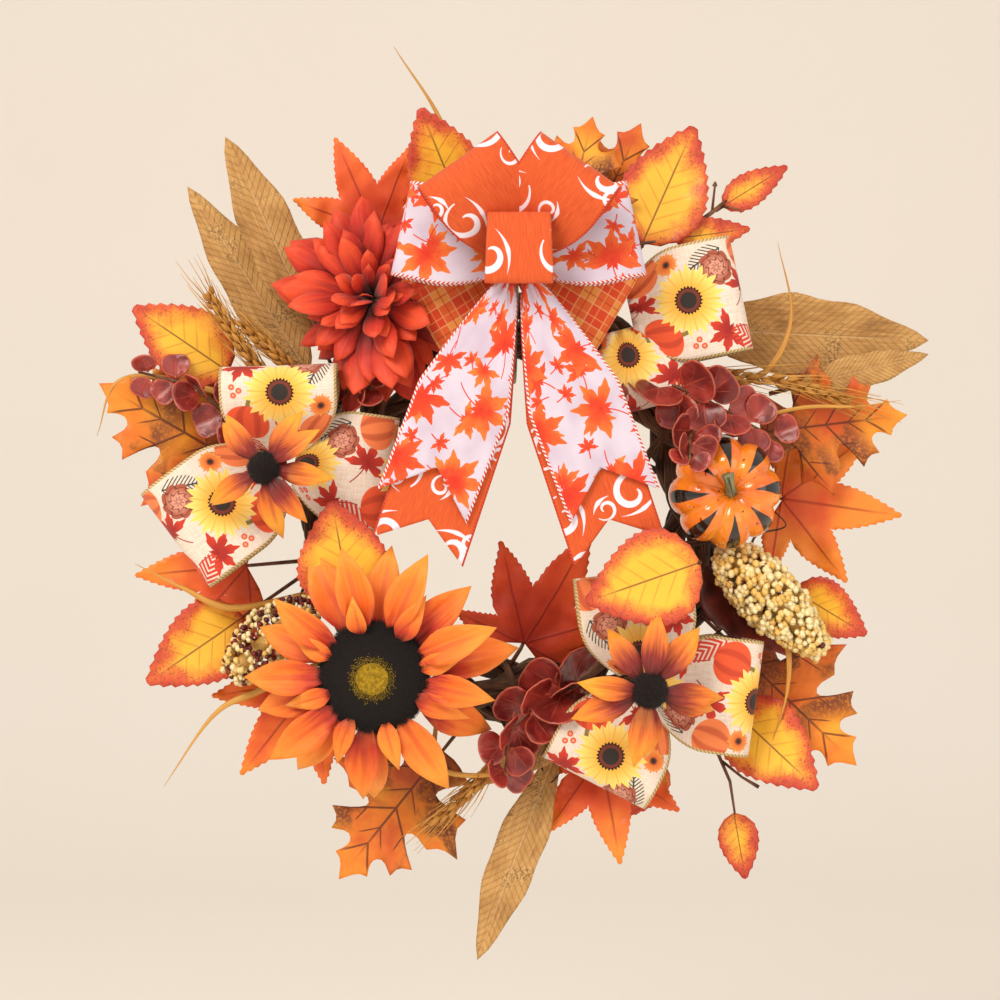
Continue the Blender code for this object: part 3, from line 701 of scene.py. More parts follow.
# Long tan leaves, mottled ochre and umber, with close herringbone veins.
tan = Look("tan_leaf_print", 0.75)
x, y = tan.plan()
side = x.size()
cloud = tan.noise(60, 4.0)
fine = tan.noise(800, 3.0)
streak = tan.noise(1.0, 3.0, (x * 90, y * 7, 1.0))
body = tan.ramp(cloud * 0.6 + streak * 0.45, (0.30, "7d5a30"), (0.46, "b08247"),
                (0.60, "c99c5c"), (0.80, "dcb87e"))
herring = ((y * 26 - side * 30).part() - 0.5).size().fall(0.05, 0.16)
midrib = vein(x, y, (0, 0), (0, 1.0), 0.007)
body = tan.over(body, (cloud.rise(0.53, 0.64) * fine.rise(0.42, 0.6) * 0.7, "6a4c2a"),
                (herring * 0.28, "8a6436"), (midrib * 0.5, "d9b27c"))
tan.paint(body, fine * 0.4 + herring * 0.6 - midrib, 0.0005, 0.8)


def lance_side(width, fullest, wave=0.06, steps=18):
    """A long outline with a slightly wavy edge, widest at the share fullest of its length."""
    side = [(0.006, 0.0)]
    for k in range(1, steps):
        t = k / steps
        skew = t ** (-0.693 / np.log(fullest))
        side.append((width / 2 * sin(pi * skew) ** 0.8 * (1 + wave * sin(t * 21)), t))
    return side + [(0.0, 1.0)]


lay_leaves(tan, "tan_leaf", (0.22, 0.05, 0.05), 70, [
    (f"tan_leaf_{word}", stalk, lance_side(width, fullest), 0.2)
    for word, stalk, width, fullest in (
        ("top_1", 0.012, 0.25, 0.42), ("top_2", 0.014, 0.24, 0.50), ("right", 0.028, 0.36, 0.40),
        ("bottom", 0.012, 0.22, 0.50))])
second = Craft()
for clock, out, depth, aim, length, width, seed in (
        (24, 0.062, 0.028, 14, 0.074, 0.26, 81), (-72, 0.020, 0.030, -150, 0.066, 0.30, 82)):
    place = basis(spot(clock, out, depth), radial(aim), FRONT)
    lift = cupped(0.2, 0.05, 0.05, seed)
    place_leaf(second, lance_side(width, 0.45), place, length, 0.004, lift, 0.2)
second.make("tan_leaf_second_lobes", tan, "tan_leaf", wall=leaf_wall)

# One broad leaf behind the grain is dark maroon, with a fine dark midrib.
maroon = Look("maroon_leaf", 0.5, Coat_Weight=0.1)
x, y = maroon.plan()
cloud = maroon.noise(70, 4.0)
body = maroon.ramp(cloud + y * 0.15, (0.35, "35100c"), (0.55, "5c1a10"), (0.78, "8f2c14"))
maroon.paint(maroon.mix(vein(x, y, (0, 0), (0, 0.95), 0.02), body, "26100a"), cloud, 0.0005, 0.5)
broad = Craft()
foot, tip = spot(-17, 0.006, 0.032), spot(-27, 0.068, 0.036)
broad.add(leaf_shape(birch_side(0.70, 9), (tip - foot).length, cupped(0.25, 0.1, 0.05, 77)),
          basis(foot, tip - foot, FRONT + Vector((0.2, 0, 0.3))))
broad.make("maroon_leaf_look", maroon, "oak_leaf", wall=leaf_wall)


# ---- Round-leaved sprigs ----
# Moulded translucent plastic in deep burgundy: pairs of round leaves with thin pale rims, which
# get smaller along a red-brown twig.
round_leaf = Look("burgundy_plastic", 0.38, Coat_Weight=0.22, Coat_Roughness=0.2,
                  Subsurface_Weight=0.12, Subsurface_Scale=0.004)
x, y = round_leaf.plan()
cloud = round_leaf.noise(70, 3.0)
rim = round_leaf.trait("rim").fall(0.0002, 0.0010)
line = vein(x, y, (0, 0), (0, 0.95), 0.035).most(vein(x.size(), y, (0, 0.2), (0.35, 0.7), 0.02))
body = round_leaf.mix(cloud.rise(0.35, 0.68), "681613", "a0342a")
body = round_leaf.mix(line * 0.45, body, "bc5038")
round_leaf.paint(round_leaf.mix(rim * 0.65, body, "cc6246"), cloud + rim + line, 0.0004, 0.5)
round_side = softened([(0.03, 0.0), (0.10, 0.08), (0.42, 0.18), (0.60, 0.45), (0.58, 0.78),
                       (0.34, 0.98),
                       (0.0, 1.0)])


def sprig(name, places, pairs, size, node=None, seed=1):
    """A twig through places, with round leaves in pairs that turn a quarter each time."""
    turns = random.Random(seed)
    leaves = Craft()
    points = [spot(*place) for place in places]
    stalks.add(stem([(p, 0.0013 - 0.0008 * k / len(points)) for k, p in enumerate(points)], 6))
    for pair in range(pairs):
        t = (pair + 0.6) / pairs * (len(points) - 1)
        low = min(int(t), len(points) - 2)
        start = points[low].lerp(points[low + 1], t - low)
        along = (points[low + 1] - points[low]).normalized()
        aside = along.cross(FRONT).normalized()
        length = size * (1 - 0.5 * pair / pairs)
        for way in (-1, 1):
            open_out = radians(turns.uniform(48, 78))
            roll = radians(turns.uniform(-38, 38) + 30 * (pair % 2))
            sideways = aside * cos(roll) + FRONT * sin(roll)
            ahead = along * cos(open_out) + sideways * way * sin(open_out)
            ahead = ahead.normalized() + FRONT * 0.25
            face = FRONT + aside * turns.uniform(-0.5, 0.5) + along * turns.uniform(-0.4, 0.4)
            place = basis(start + ahead * 0.0015, ahead, face)
            lift = cupped(0.30, -0.16, 0.03, seed + pair)
            leaves.add(leaf_shape(round_side, length, lift, 0.0018), place)
    return leaves.make(name, round_leaf, "eucalyptus", *([node] if node else []), wall=0.0006)


sprig("eucalyptus_left_look", ((166, 0.018, 0.024), (163, 0.057, 0.036), (159, 0.088, 0.036),
                               (160, 0.118, 0.036)), 6, 0.020, "eucalyptus_left", 3)
sprig("eucalyptus_right_look", ((46, 0.000, 0.024), (42, 0.003, 0.052), (32, 0.014, 0.056),
                                (22, 0.028, 0.054), (15, 0.044, 0.052)), 7, 0.024,
      "eucalyptus_right", 5)
sprig("eucalyptus_bottom_look", ((-70, 0.000, 0.024), (-73, -0.001, 0.046), (-84, 0.002, 0.052),
                                 (-92, 0.018, 0.054), (-93, 0.042, 0.052)), 8, 0.025,
      "eucalyptus_bottom", 8)
sprig("eucalyptus_over_pumpkin", ((26, 0.004, 0.056), (22, -0.004, 0.078), (16, -0.008, 0.090)), 3,
      0.016, seed=12)
sprig("eucalyptus_by_ribbon", ((142, 0.016, 0.026), (144, 0.013, 0.046), (140, 0.001, 0.050)), 3,
      0.018, seed=14)


# ---- Wheat and grass ----
# Moulded ears on wired straws: plump grains in overlapping rows, each with a stiff awn. Single
# grass blades are pushed in between them.
straw = Look("straw", 0.55)
across, along = straw.plan()
tone = straw.trait("tone")
streak = straw.noise(1.0, 3.0, (across * 1500, along * 60, tone * 40))
body = straw.ramp(streak * 0.5 + tone * 0.5, (0.22, "7d4a1c"), (0.45, "b47a2e"),
                  (0.62, "cf9840"), (0.85, "e6bd6c"))
straw.paint(body, streak, 0.0003, 0.7)


def smooth_path(places, steps):
    """A flowing line through places, as points."""
    points = [Vector(p) for p in places]
    points = [points[0] * 2 - points[1]] + points + [points[-1] * 2 - points[-2]]
    line = []
    for k in range(steps + 1):
        t = k / steps * (len(places) - 1)
        a = min(int(t), len(places) - 2)
        t -= a
        p, q, r, s = points[a:a + 4]
        line.append(0.5 * (2 * q + (r - p) * t + (2 * p - 5 * q + 4 * r - s) * t * t
                           + (3 * q - p - 3 * r + s) * t ** 3))
    return line


golden_turn = 2.4  # radians, so that no two grains line up


def wheat(name, places, start, grains, awn, node=None, seed=1):
    """An ear along the last part of a straw, from the share start of its length."""
    draw = random.Random(seed)
    ear = Craft()
    steps = 60
    line = smooth_path([spot(*place) for place in places], steps)
    ear.add(stem([(p, 0.0013 - 0.0007 * k / steps) for k, p in enumerate(line)], 6), tone=0.55)
    for grain in range(grains):
        share = start + (0.99 - start) * grain / grains
        k = min(int(share * steps), steps - 1)
        along = (line[k + 1] - line[k]).normalized()
        turn = grain * golden_turn
        side = along.orthogonal().normalized()
        side = side * cos(turn) + along.cross(side) * sin(turn)
        lean = (along + side * draw.uniform(0.32, 0.45)).normalized()
        foot = line[k] + side * 0.0012
        size = 0.0085 * (1 - 0.3 * grain / grains)
        shape = [(foot + lean * size * t, 0.0017 * r) for t, r in
                 ((0, 0.3), (0.25, 0.95), (0.5, 1.0), (0.8, 0.6), (1.0, 0.15))]
        ear.add(stem(shape, 6), tone=draw.uniform(0.3, 0.7))
        tip = foot + lean * size
        reach = awn * draw.uniform(0.7, 1.1)
        hair = [(tip, 0.00032), (tip + (along * 0.94 + side * 0.22) * reach * 0.5, 0.00026),
                (tip + (along * 0.97 + side * 0.16) * reach, 0.00012)]
        ear.add(stem(hair, 4), tone=draw.uniform(0.45, 0.9))
    ear.make(name, straw, "straw", *([node] if node else []))


wheat("wheat_right_look", ((44, 0.014, 0.024), (41, 0.016, 0.037), (34, 0.030, 0.037),
                           (27, 0.055, 0.037),
                           (22, 0.072, 0.038), (18, 0.088, 0.042)), 0.30, 46, 0.032, "wheat_right",
      2)
wheat("wheat_left_look", ((156, 0.020, 0.020), (154, 0.042, 0.030), (151, 0.062, 0.034),
                          (148, 0.082, 0.038),
                          (145, 0.104, 0.042)), 0.35, 40, 0.022, "wheat_left", 3)
wheat("wheat_second_ear", ((150, 0.020, 0.022), (148, 0.044, 0.034), (147, 0.060, 0.036),
                           (146, 0.080, 0.036)),
      0.30, 30, 0.018, seed=4)
wheat("wheat_bottom", ((-92, 0.016, 0.024), (-95, 0.036, 0.040), (-100, 0.053, 0.044),
                       (-105, 0.074, 0.044)),
      0.30, 34, 0.022, seed=6)

blades = Craft()
for places, width in (
        (((104, 0.014, 0.020), (101, 0.060, 0.030), (101, 0.110, 0.036), (105, 0.158, 0.040)),
         0.0019),
        (((34, 0.018, 0.020), (29, 0.050, 0.036), (35, 0.079, 0.042), (46, 0.100, 0.046)), 0.0014),
        (((158, 0.020, 0.020), (159, 0.090, 0.028), (162, 0.127, 0.030), (170, 0.131, 0.034)),
         0.0015),
        (((-140, 0.018, 0.020), (-145, 0.069, 0.036), (-146, 0.098, 0.036), (-142, 0.143, 0.034)),
         0.0016),
        (((-158, 0.018, 0.024), (-161, 0.062, 0.040), (-167, 0.085, 0.042), (-172, 0.108, 0.040)),
         0.0016),
        (((-16, 0.012, 0.024), (-24, 0.044, 0.042), (-26, 0.060, 0.044), (-34, 0.074, 0.044),
          (-43, 0.086, 0.040)), 0.0018),
        (((-112, 0.018, 0.026), (-107, 0.044, 0.046), (-94, 0.041, 0.050), (-88, 0.030, 0.050)),
         0.0013),
        (((22, 0.016, 0.030), (20, 0.060, 0.040), (17, 0.090, 0.046), (16, 0.113, 0.048)), 0.0009)):
    line = smooth_path([spot(*place) for place in places], 30)
    path = [(p, width * (0.75 + 0.5 * sin(pi * min(k / 24, 1))) * (1 - (k / 30) ** 3 * 0.9))
            for k, p in enumerate(line)]
    points, faces, plans, rims = stem(path, 8)
    flat = [line[min(k // 8, 30)] for k in range(len(points))]
    points = [p + (q - p).project(FRONT) * 0.6 for p, q in zip(points, flat)]
    blades.add((points, faces, plans, rims), tone=chance.uniform(0.45, 0.75))
blades.make("grass_blades", straw, "grass", "grass_top")


# ---- Sorghum heads ----
# Clusters of small foam seeds stuck round a straw: cream and gold on the right, and on the
# left cream mixed with dark red.
seed_look = Look("seed_foam", 0.5, Coat_Weight=0.2)
tone = seed_look.trait("tone")
mottle = seed_look.noise(420, 2.0)
body = seed_look.ramp(tone + (mottle - 0.5) * 0.10, (0.03, "5a0f12"), (0.10, "8a1f18"),
                      (0.16, "d89e3c"), (0.45, "f0ca70"), (0.80, "fae9b2"))
seed_look.paint(body, mottle, 0.0003, 0.5)


def ball_shape(radius, seed):
    """A small seed: a rounded octahedral ball, a little uneven."""
    rows = ((1.0, 1), (0.62, 5), (-0.10, 5), (-0.75, 5), (-1.0, 1))
    points = []
    for k, (height, count) in enumerate(rows):
        flat = sqrt(max(0.0, 1 - height * height))
        for j in range(count):
            turn = 2 * pi * (j + 0.5 * k) / count + seed
            points.append(Vector((flat * cos(turn), flat * sin(turn), height)) * radius)
    faces = [(0, 1 + j, 1 + (j + 1) % 5) for j in range(5)]
    for first in (1, 6):
        for j in range(5):
            a, b = first + j, first + (j + 1) % 5
            c, d = first + 5 + (j + 1) % 5, first + 5 + j
            faces.append((a, d, c, b))
    faces += [(16, 11 + (j + 1) % 5, 11 + j) for j in range(5)]
    return points, faces, [[(0.0, 0.0)] * len(face) for face in faces], [0.0] * len(points)


def sorghum(name, places, widths, seeds, red, size, node=None, seed=1):
    """A head of seeds round a straw, as wide as widths from foot to tip; red is the share of
    dark red seeds."""
    draw = random.Random(seed)
    head = Craft()
    steps, bare = 40, 8
    line = smooth_path([spot(*place) for place in places], steps)
    head.add(stem([(p, 0.0045) for p in line[bare:]], 8), tone=0.3)
    head.add(stem([(p, 0.0012) for p in line[:bare + 1]], 6), tone=0.3)
    for _ in range(seeds):
        share = draw.random()
        k = min(int((0.18 + 0.82 * share) * steps), steps - 1)
        along = (line[k + 1] - line[k]).normalized()
        side = along.orthogonal().normalized()
        turn = draw.uniform(0, 2 * pi)
        girth = np.interp(share, np.linspace(0, 1, len(widths)), widths)
        girth *= draw.uniform(0.55, 1.0) ** 0.5
        place = line[k] + (side * cos(turn) + along.cross(side) * sin(turn)) * girth
        place += along * draw.uniform(-0.002, 0.002)
        tone = draw.uniform(0.0, 0.09) if draw.random() < red else draw.uniform(0.25, 1.0)
        head.add(ball_shape(size * draw.uniform(0.75, 1.15), turn), Matrix.Translation(place), tone)
    head.make(name, seed_look, "seed", *([node] if node else []))


sorghum("sorghum_right_look", ((-8, 0.010, 0.030), (-13, 0.018, 0.044), (-18, 0.036, 0.048),
                               (-22, 0.058, 0.050), (-25, 0.080, 0.048)),
        (0.008, 0.015, 0.0175, 0.0165, 0.012, 0.006), 1150, 0.012, 0.0020, "sorghum_right", 5)
sorghum("sorghum_left", ((-155, 0.014, 0.030), (-154, 0.034, 0.040), (-152, 0.056, 0.042),
                         (-150, 0.078, 0.042)),
        (0.008, 0.015, 0.017, 0.014, 0.008), 620, 0.36, 0.0018, seed=6)


# The leaf stalks and twigs are moulded brown plastic, mottled darker and paler.
stalk_look = Look("stalk_plastic", 0.5)
grain = stalk_look.noise(180, 3.0)
stalk_look.paint(stalk_look.mix(grain.rise(0.35, 0.65), "4a2616", "7a4a2a"), grain, 0.0002)
stalks.make("leaf_stalks", stalk_look, "vine_bark")


# ---- Flowers ----
# Silk-type flowers: petals cut from stiffened cloth, creased with a hot iron and threaded in
# rings on a wired stem. The middles are flocked foam, with cropped fibre standing up.
def petal_look(name, base, body, tip, reach=0.45):
    """Dyed from the root outwards, with fine veins along each petal. Painted shade darkens the
    ironed creases, and the dark root colours are partly dye and partly painted shade where the
    petals overlap.
    """
    look = Look(name, 0.6, Sheen_Weight=0.15, Subsurface_Weight=0.06, Subsurface_Scale=0.003)
    x, y = look.plan()
    tone = look.trait("tone")
    streak = look.noise(1.0, 3.0, (x * 26, y * 2.2, tone * 60))
    cloud = look.noise(60, 2.0)
    spread = y + (streak - 0.5) * 0.42 + (tone - 0.5) * 0.35
    # The two base colours at the root are partly the petals' dye and partly painted shade where the
    # petals overlap.
    colour = look.ramp(spread, (0.02, base[0]), (reach * 0.55, base[1]), (reach, body),
                       (0.95, tip))
    colour = look.mix(cloud.rise(0.5, 0.7) * 0.25, colour, tip)
    # Painted shade in the creases: the colour darkens along the same cos(17x) lines that petal_lift
    # bends.
    crease = (x * 17).cosine().rise(0.75, 1.0) * y.fall(0.5, 0.95)
    colour = look.mix(crease * 0.40, colour, base[1])
    return look.paint(colour, streak + crease, 0.0005, 0.8)


def petal_side(width, fullest, steps=9, blunt=1.0):
    """A petal's outline, widest at the share fullest of its length."""
    side = [(0.10 * width, 0.0)]
    for k in range(1, steps):
        t = k / steps
        side.append((width / 2 * sin(pi * t ** (-0.693 / np.log(fullest))) ** blunt, t))
    return side + [(0.0, 1.0)]


def petal_lift(cup, curl, crease, seed):
    """Hollow along its length, curling back towards the tip, with ironed creases."""
    def lift(x, y):
        wave = noise.noise(Vector((x * 4, y * 4, seed)))
        return (cup * (sqrt(x * x + 0.0004) - 0.02) - curl * y * y + crease * cos(17 * x) * (1 - y)
                + 0.05 * wave * y)
    return lift


def head(clock, out, depth, face):
    """A flower's place: its axis is +Z and leans face degrees from outward to the front."""
    axis = radial(clock) * cos(radians(face)) + FRONT * sin(radians(face))
    around = Vector((-sin(radians(clock)), 0.0, cos(radians(clock))))
    return basis(spot(clock, out, depth), axis.cross(around), axis)


def petal_ring(craft, place, count, side, length, root, height, rise, cup, curl, seed, turn=0.0,
               crease=0.012, stretch=0.0, wild=1.0):
    """One ring of petals; rise is how many degrees they stand up from flat."""
    draw = random.Random(seed)
    for k in range(count):
        angle = 2 * pi * (k + turn) / count + radians(draw.uniform(-4, 4)) * wild
        size = length * (1 + draw.uniform(-0.08, 0.06) * wild) * (1 + stretch * abs(cos(angle)))
        lift = petal_lift(cup * draw.uniform(0.7, 1.3), curl * draw.uniform(0.6, 1.4), crease,
                          seed + k)
        spin = Matrix.Rotation(angle, 4, "Z") @ Matrix.Translation((0, root, height))
        spin = spin @ Matrix.Rotation(radians(rise + draw.uniform(-7, 7) * wild), 4, "X")
        spin = spin @ Matrix.Rotation(radians(draw.uniform(-9, 9) * wild), 4, "Y")
        craft.add(leaf_shape(side, size, lift, 0.0030), place @ spin, draw.random())


def flocked(craft, place, radius, height, foot, hairs, hair, core=0.0, seed=1):
    """A domed cushion with short fibres all over it; the middle is paler inside core."""
    draw = random.Random(seed)
    rings, sides = 7, 24
    points = [Vector((0, 0, foot + height))]
    for k in range(1, rings + 1):
        lean = pi / 2 * k / rings
        points += [Vector((radius * sin(lean) * cos(2 * pi * j / sides),
                           radius * sin(lean) * sin(2 * pi * j / sides),
                           foot + height * cos(lean))) for j in range(sides)]
    faces = [(0, 1 + j, 1 + (j + 1) % sides) for j in range(sides)]
    belts = net(rings - 1, sides, lambda m, n: 0, sides, True)[0]
    faces += [[1 + corner for corner in face] for face in belts]
    blank = [[(0.0, 0.0)] * len(face) for face in faces]
    craft.add((points, faces, blank, [0.0] * len(points)), place, 1.0 if core > 1 else 0.0)
    for k in range(hairs):
        share = sqrt((k + 0.5) / hairs)
        turn = k * 2.39996
        lean = pi / 2 * share
        root = Vector((radius * sin(lean) * cos(turn), radius * sin(lean) * sin(turn),
                       foot + height * cos(lean)))
        out = Vector((root.x * height / radius, root.y * height / radius,
                      (root.z - foot) * radius / height))
        stray = Vector([draw.uniform(-0.35, 0.35) for _ in range(3)])
        out = (out.normalized() + stray).normalized()
        side = out.orthogonal().normalized() * 0.00022
        flat = hypot(root.x, root.y) / radius
        tone = 1.0 if flat < core * draw.uniform(0.85, 1.12) and draw.random() < 0.93 else 0.0
        long = hair * draw.uniform(0.7, 1.15) * (1.25 if tone else 1.0)
        tips = [root + side, root + out.cross(side) * 0.9 - side * 0.5,
                root - out.cross(side) * 0.9 - side * 0.5,
                root + out * long]
        craft.add((tips, [(0, 1, 3), (1, 2, 3), (2, 0, 3)], [[(0.0, 0.0)] * 3] * 3, [0.0] * 4),
                  place,
                  tone * draw.uniform(0.8, 1.0))


def flock_look(name, dark, light):
    """Cropped fibre, dark with a paler patch where the tone is high."""
    look = Look(name, 0.95, Sheen_Weight=0.1)
    tone = look.trait("tone")
    grain = look.noise(1500, 2.0)
    tuft = look.noise(620, 3.0).rise(0.36, 0.66)
    pale = look.mix(tuft, look.mix(0.55, light, "4a3a08"), light)
    return look.paint(look.mix(tone.rise(0.2, 0.8), look.mix(grain, dark, "1c0f0a"), pale),
                      grain + tuft, 0.0005)


# Deep red roots: partly dye, partly painted shade between the petals.
sunflower_dye = petal_look("sunflower_petal", ("7a0f0a", "c0300a"), "e96a10", "f6962a", 0.44)
place = head(-131, 0.015, 0.074, 82)
flower = Craft()
wide = petal_side(0.40, 0.50)
petal_ring(flower, place, 10, wide, 0.051, 0.022, -0.0022, -5, 0.80, 0.22, 200, 0.0, 0.026, 0.0,
           1.5)
petal_ring(flower, place, 9, wide, 0.047, 0.022, 0.0006, 6, 0.95, 0.16, 233, 0.4, 0.026, 0.0, 1.5)
petal_ring(flower, place, 8, petal_side(0.50, 0.50), 0.023, 0.023, 0.0028, 26, 0.7, 0.60, 260, 0.25,
           0.02, 0.0, 1.8)
flower.make("sunflower_petals_look", sunflower_dye, "orange_petal", "sunflower_petals", wall=0.0005)
middle_piece = Craft()
flocked(middle_piece, place, 0.0292, 0.0075, 0.0012, 4200, 0.0021, 0.42, 3)
flocked(middle_piece, place, 0.0115, 0.0026, 0.0066, 1100, 0.0014, 1.2, 4)
green = [(place @ Vector((0, 0, z)), r) for z, r in
         ((0.002, 0.020), (-0.003, 0.019), (-0.010, 0.012), (-0.018, 0.005), (-0.022, 0.0022),
          (-0.045, 0.0020))]
middle_piece.make("sunflower_middle", flock_look("sunflower_flock", "0a0606", "d8b126"),
                  "flower_centre",
                  "sunflower_centre")
cups = Craft()
cups.add(stem(green, 16), tone=0.5)

cone_dye = petal_look("coneflower_petal", ("420c0a", "8c1d10"), "e8761a", "f6a526", 0.60)
cone_flock = flock_look("coneflower_flock", "1c0806", "3a1710")
for number, (node, where, length, size) in enumerate((
        ("coneflower_left", (170.6, 0.034, 0.078, 80), 0.032, 0.0080),
        ("coneflower_low", (-54, 0.015, 0.086, 86), 0.036, 0.0090))):
    place = head(*where)
    flower = Craft()
    slim = petal_side(0.40, 0.50)
    petal_ring(flower, place, 5, slim, length, 0.0045, 0.0006, 2, 0.6, 0.30, 300 + 40 * number, 0.0,
               0.02)
    petal_ring(flower, place, 4, slim, length * 0.95, 0.0045, 0.0022, 16, 0.6, 0.30,
               320 + 40 * number, 0.5, 0.02)
    flower.make(f"{node}_petals_look", cone_dye, "gold_petal", f"{node}_petals", wall=0.0005)
    middle_piece = Craft()
    flocked(middle_piece, place, size, size * 1.05, 0.0010, 1100, 0.0016, 0.0, 7 + number)
    middle_piece.make(f"{node}_middle", cone_flock, "flower_centre", f"{node}_centre")
    green = [(place @ Vector((0, 0, z)), r) for z, r in
             ((0.0, 0.0045), (-0.003, 0.0045), (-0.007, 0.0020), (-0.05, 0.0017))]
    cups.add(stem(green, 10), tone=0.5)

# Near-black roots: partly dye, partly painted shade between the crowded petals.
mum_dye = petal_look("chrysanthemum_petal", ("300505", "7c0f09"), "c4240c", "e2491a", 0.66)
place = head(124.5, 0.037, 0.040, 74)
flower = Craft()
spoon = petal_side(0.33, 0.66, 9, 0.85)
for ring, (count, length, rise, height) in enumerate((
        (19, 0.043, 2, -0.0050), (18, 0.041, 12, -0.0030), (17, 0.039, 23, -0.0010),
        (15, 0.037, 34, 0.0008), (13, 0.035, 45, 0.0020), (10, 0.030, 56, 0.0028),
        (8, 0.026, 67, 0.0032), (6, 0.021, 79, 0.0036))):
    petal_ring(flower, place, count, spoon, length, 0.002, height, rise, -0.25, 0.28,
               400 + 30 * ring,
               0.5 * (ring % 2), 0.016, 0.30, 2.6)
flower.make("chrysanthemum_look", mum_dye, "red_petal", "chrysanthemum", wall=0.0005)
cups.add(stem([(place @ Vector((0, 0, z)), r) for z, r in
               ((0.0, 0.006), (-0.006, 0.007), (-0.012, 0.003), (-0.034, 0.0018))], 10), tone=0.5)
cup_look = Look("green_cup", 0.6)
grain = cup_look.noise(240, 3.0)
cup_look.paint(cup_look.mix(grain.rise(0.35, 0.65), "3d4a1c", "6a7430"), grain, 0.0003)
cups.make("flower_cups_and_stems", cup_look, "pumpkin_stalk")


# ---- Pumpkin ----
# A carved foam pumpkin, sprayed orange, with brush strokes of black in its grooves, dark red
# flecks and a high gloss. Its moulded stalk is grey-green.
ribs = 8
skin = Look("pumpkin_skin", 0.16, Coat_Weight=0.6, Coat_Roughness=0.08)
turn, fall = skin.plan()
cloud = skin.noise(60, 3.0)
fleck = skin.noise(330, 1.0)
body = skin.ramp(cloud + (turn.part() - 0.5).size() * -0.35 + 0.1, (0.25, "d9560f"),
                 (0.45, "ef7a14"),
                 (0.75, "f79a22"))
body = skin.mix(fleck.rise(0.70, 0.74), body, "7a1a08")
across = (turn + (cloud - 0.5) * 0.10 - 0.5).part() - 0.5
reach = (turn * 3.7).sine() * 0.07
stroke = (across.size() - 0.150 * ((fall - 0.10) * 6.9).sine()).fall(0.0, 0.02)
stroke = stroke * fall.rise(0.10, 0.13) * (fall + reach).fall(0.50, 0.55)
body = skin.mix(stroke, body, "17110c")
skin.paint(body, cloud * 0.4 - stroke, 0.0006, 0.5)
place = head(5, 0.010, 0.058, 84)
radius, half = 0.0300, 0.0225
around, down = 140, 44
points = []
for k in range(down + 1):
    lean = pi * k / down
    for j in range(around):
        turn = 2 * pi * j / around
        groove = abs(cos(ribs / 2 * turn)) ** 0.55
        swell = radius * (0.86 + 0.15 * groove) * sin(lean) ** 0.86
        flat = swell / radius
        dimple = 1 - 0.42 * max(0.0, 1 - flat / 0.60) ** 1.4
        rise = half * cos(lean) * dimple * (0.93 + 0.09 * groove)
        points.append(Vector((swell * cos(turn), swell * sin(turn), rise)))
faces, plans = net(down, around, lambda m, n: (ribs * m / around, n / down), around, True)
pumpkin = Craft()
pumpkin.add((points, faces, plans, [0.0] * len(points)), place)
pumpkin.make("pumpkin_look", skin, "pumpkin_skin", "pumpkin_body")
stalk_paint = Look("pumpkin_stalk_plastic", 0.6)
across, along = stalk_paint.plan()
grain = stalk_paint.noise(1.0, 3.0, (across * 700, along * 90, 0.0))
stalk_paint.paint(stalk_paint.mix(grain.rise(0.38, 0.62), "3a3a24", "8c8a62"), grain, 0.0006, 0.9)
bend = smooth_path([(0, 0, 0.010), (0, 0, 0.0165), (0.001, 0.001, 0.0205), (0.0045, 0.002, 0.0245),
                    (0.009, 0.003, 0.0265)], 16)
sides = 20
path = [(p, 0.0042 * (1 - 0.45 * sin(pi * k / 20))) for k, p in enumerate(bend)]
points, faces, plans, rims = stem(path, sides)
for k, point in enumerate(points):
    line = bend[min(k // sides, len(bend) - 1)]
    flute = 5 * 2 * pi * (k % sides) / sides + 0.25 * (k // sides)
    points[k] = line + (point - line) * (1 + 0.16 * cos(flute))
pumpkin = Craft()
pumpkin.add((points, faces, plans, rims), place)
pumpkin.add(stem([(Vector((0, 0, -0.010)), 0.0012), (Vector((0, 0, -0.046)), 0.0012)], 8), place)
pumpkin.make("pumpkin_stalk_look", stalk_paint, "pumpkin_stalk", "pumpkin_stalk")


# ---- Printed cream ribbon ----
# Wired linen ribbon, 62 mm wide, printed with harvest motifs: sunflowers, pumpkins, red leaves,
# pine cones and berries. Each loop is gathered at its root and wired to the vines; both edges
# are stitched over in gold thread.
cream_width = 0.062
ribbon_wall = 0.0004


def printed(across, along, pitch, where, turn=0.0):
    """Distances from a motif at where, in a print that repeats every pitch along the ribbon."""
    x = across - where[0]
    y = (((along - where[1]) / pitch + 0.5).part() - 0.5) * pitch
    c, s = cos(radians(turn)), sin(radians(turn))
    return x * c + y * s, y * c - x * s


def polar(x, y):
    """The reach and the turn of a place in a motif."""
    return (x * x + y * y).math("SQRT"), x.math("ARCTAN2", y)


def inside(reach, limit):
    """1 where reach is less than limit, with an edge as sharp as print on cloth."""
    return (reach - limit).fall(-0.00022, 0.00022)


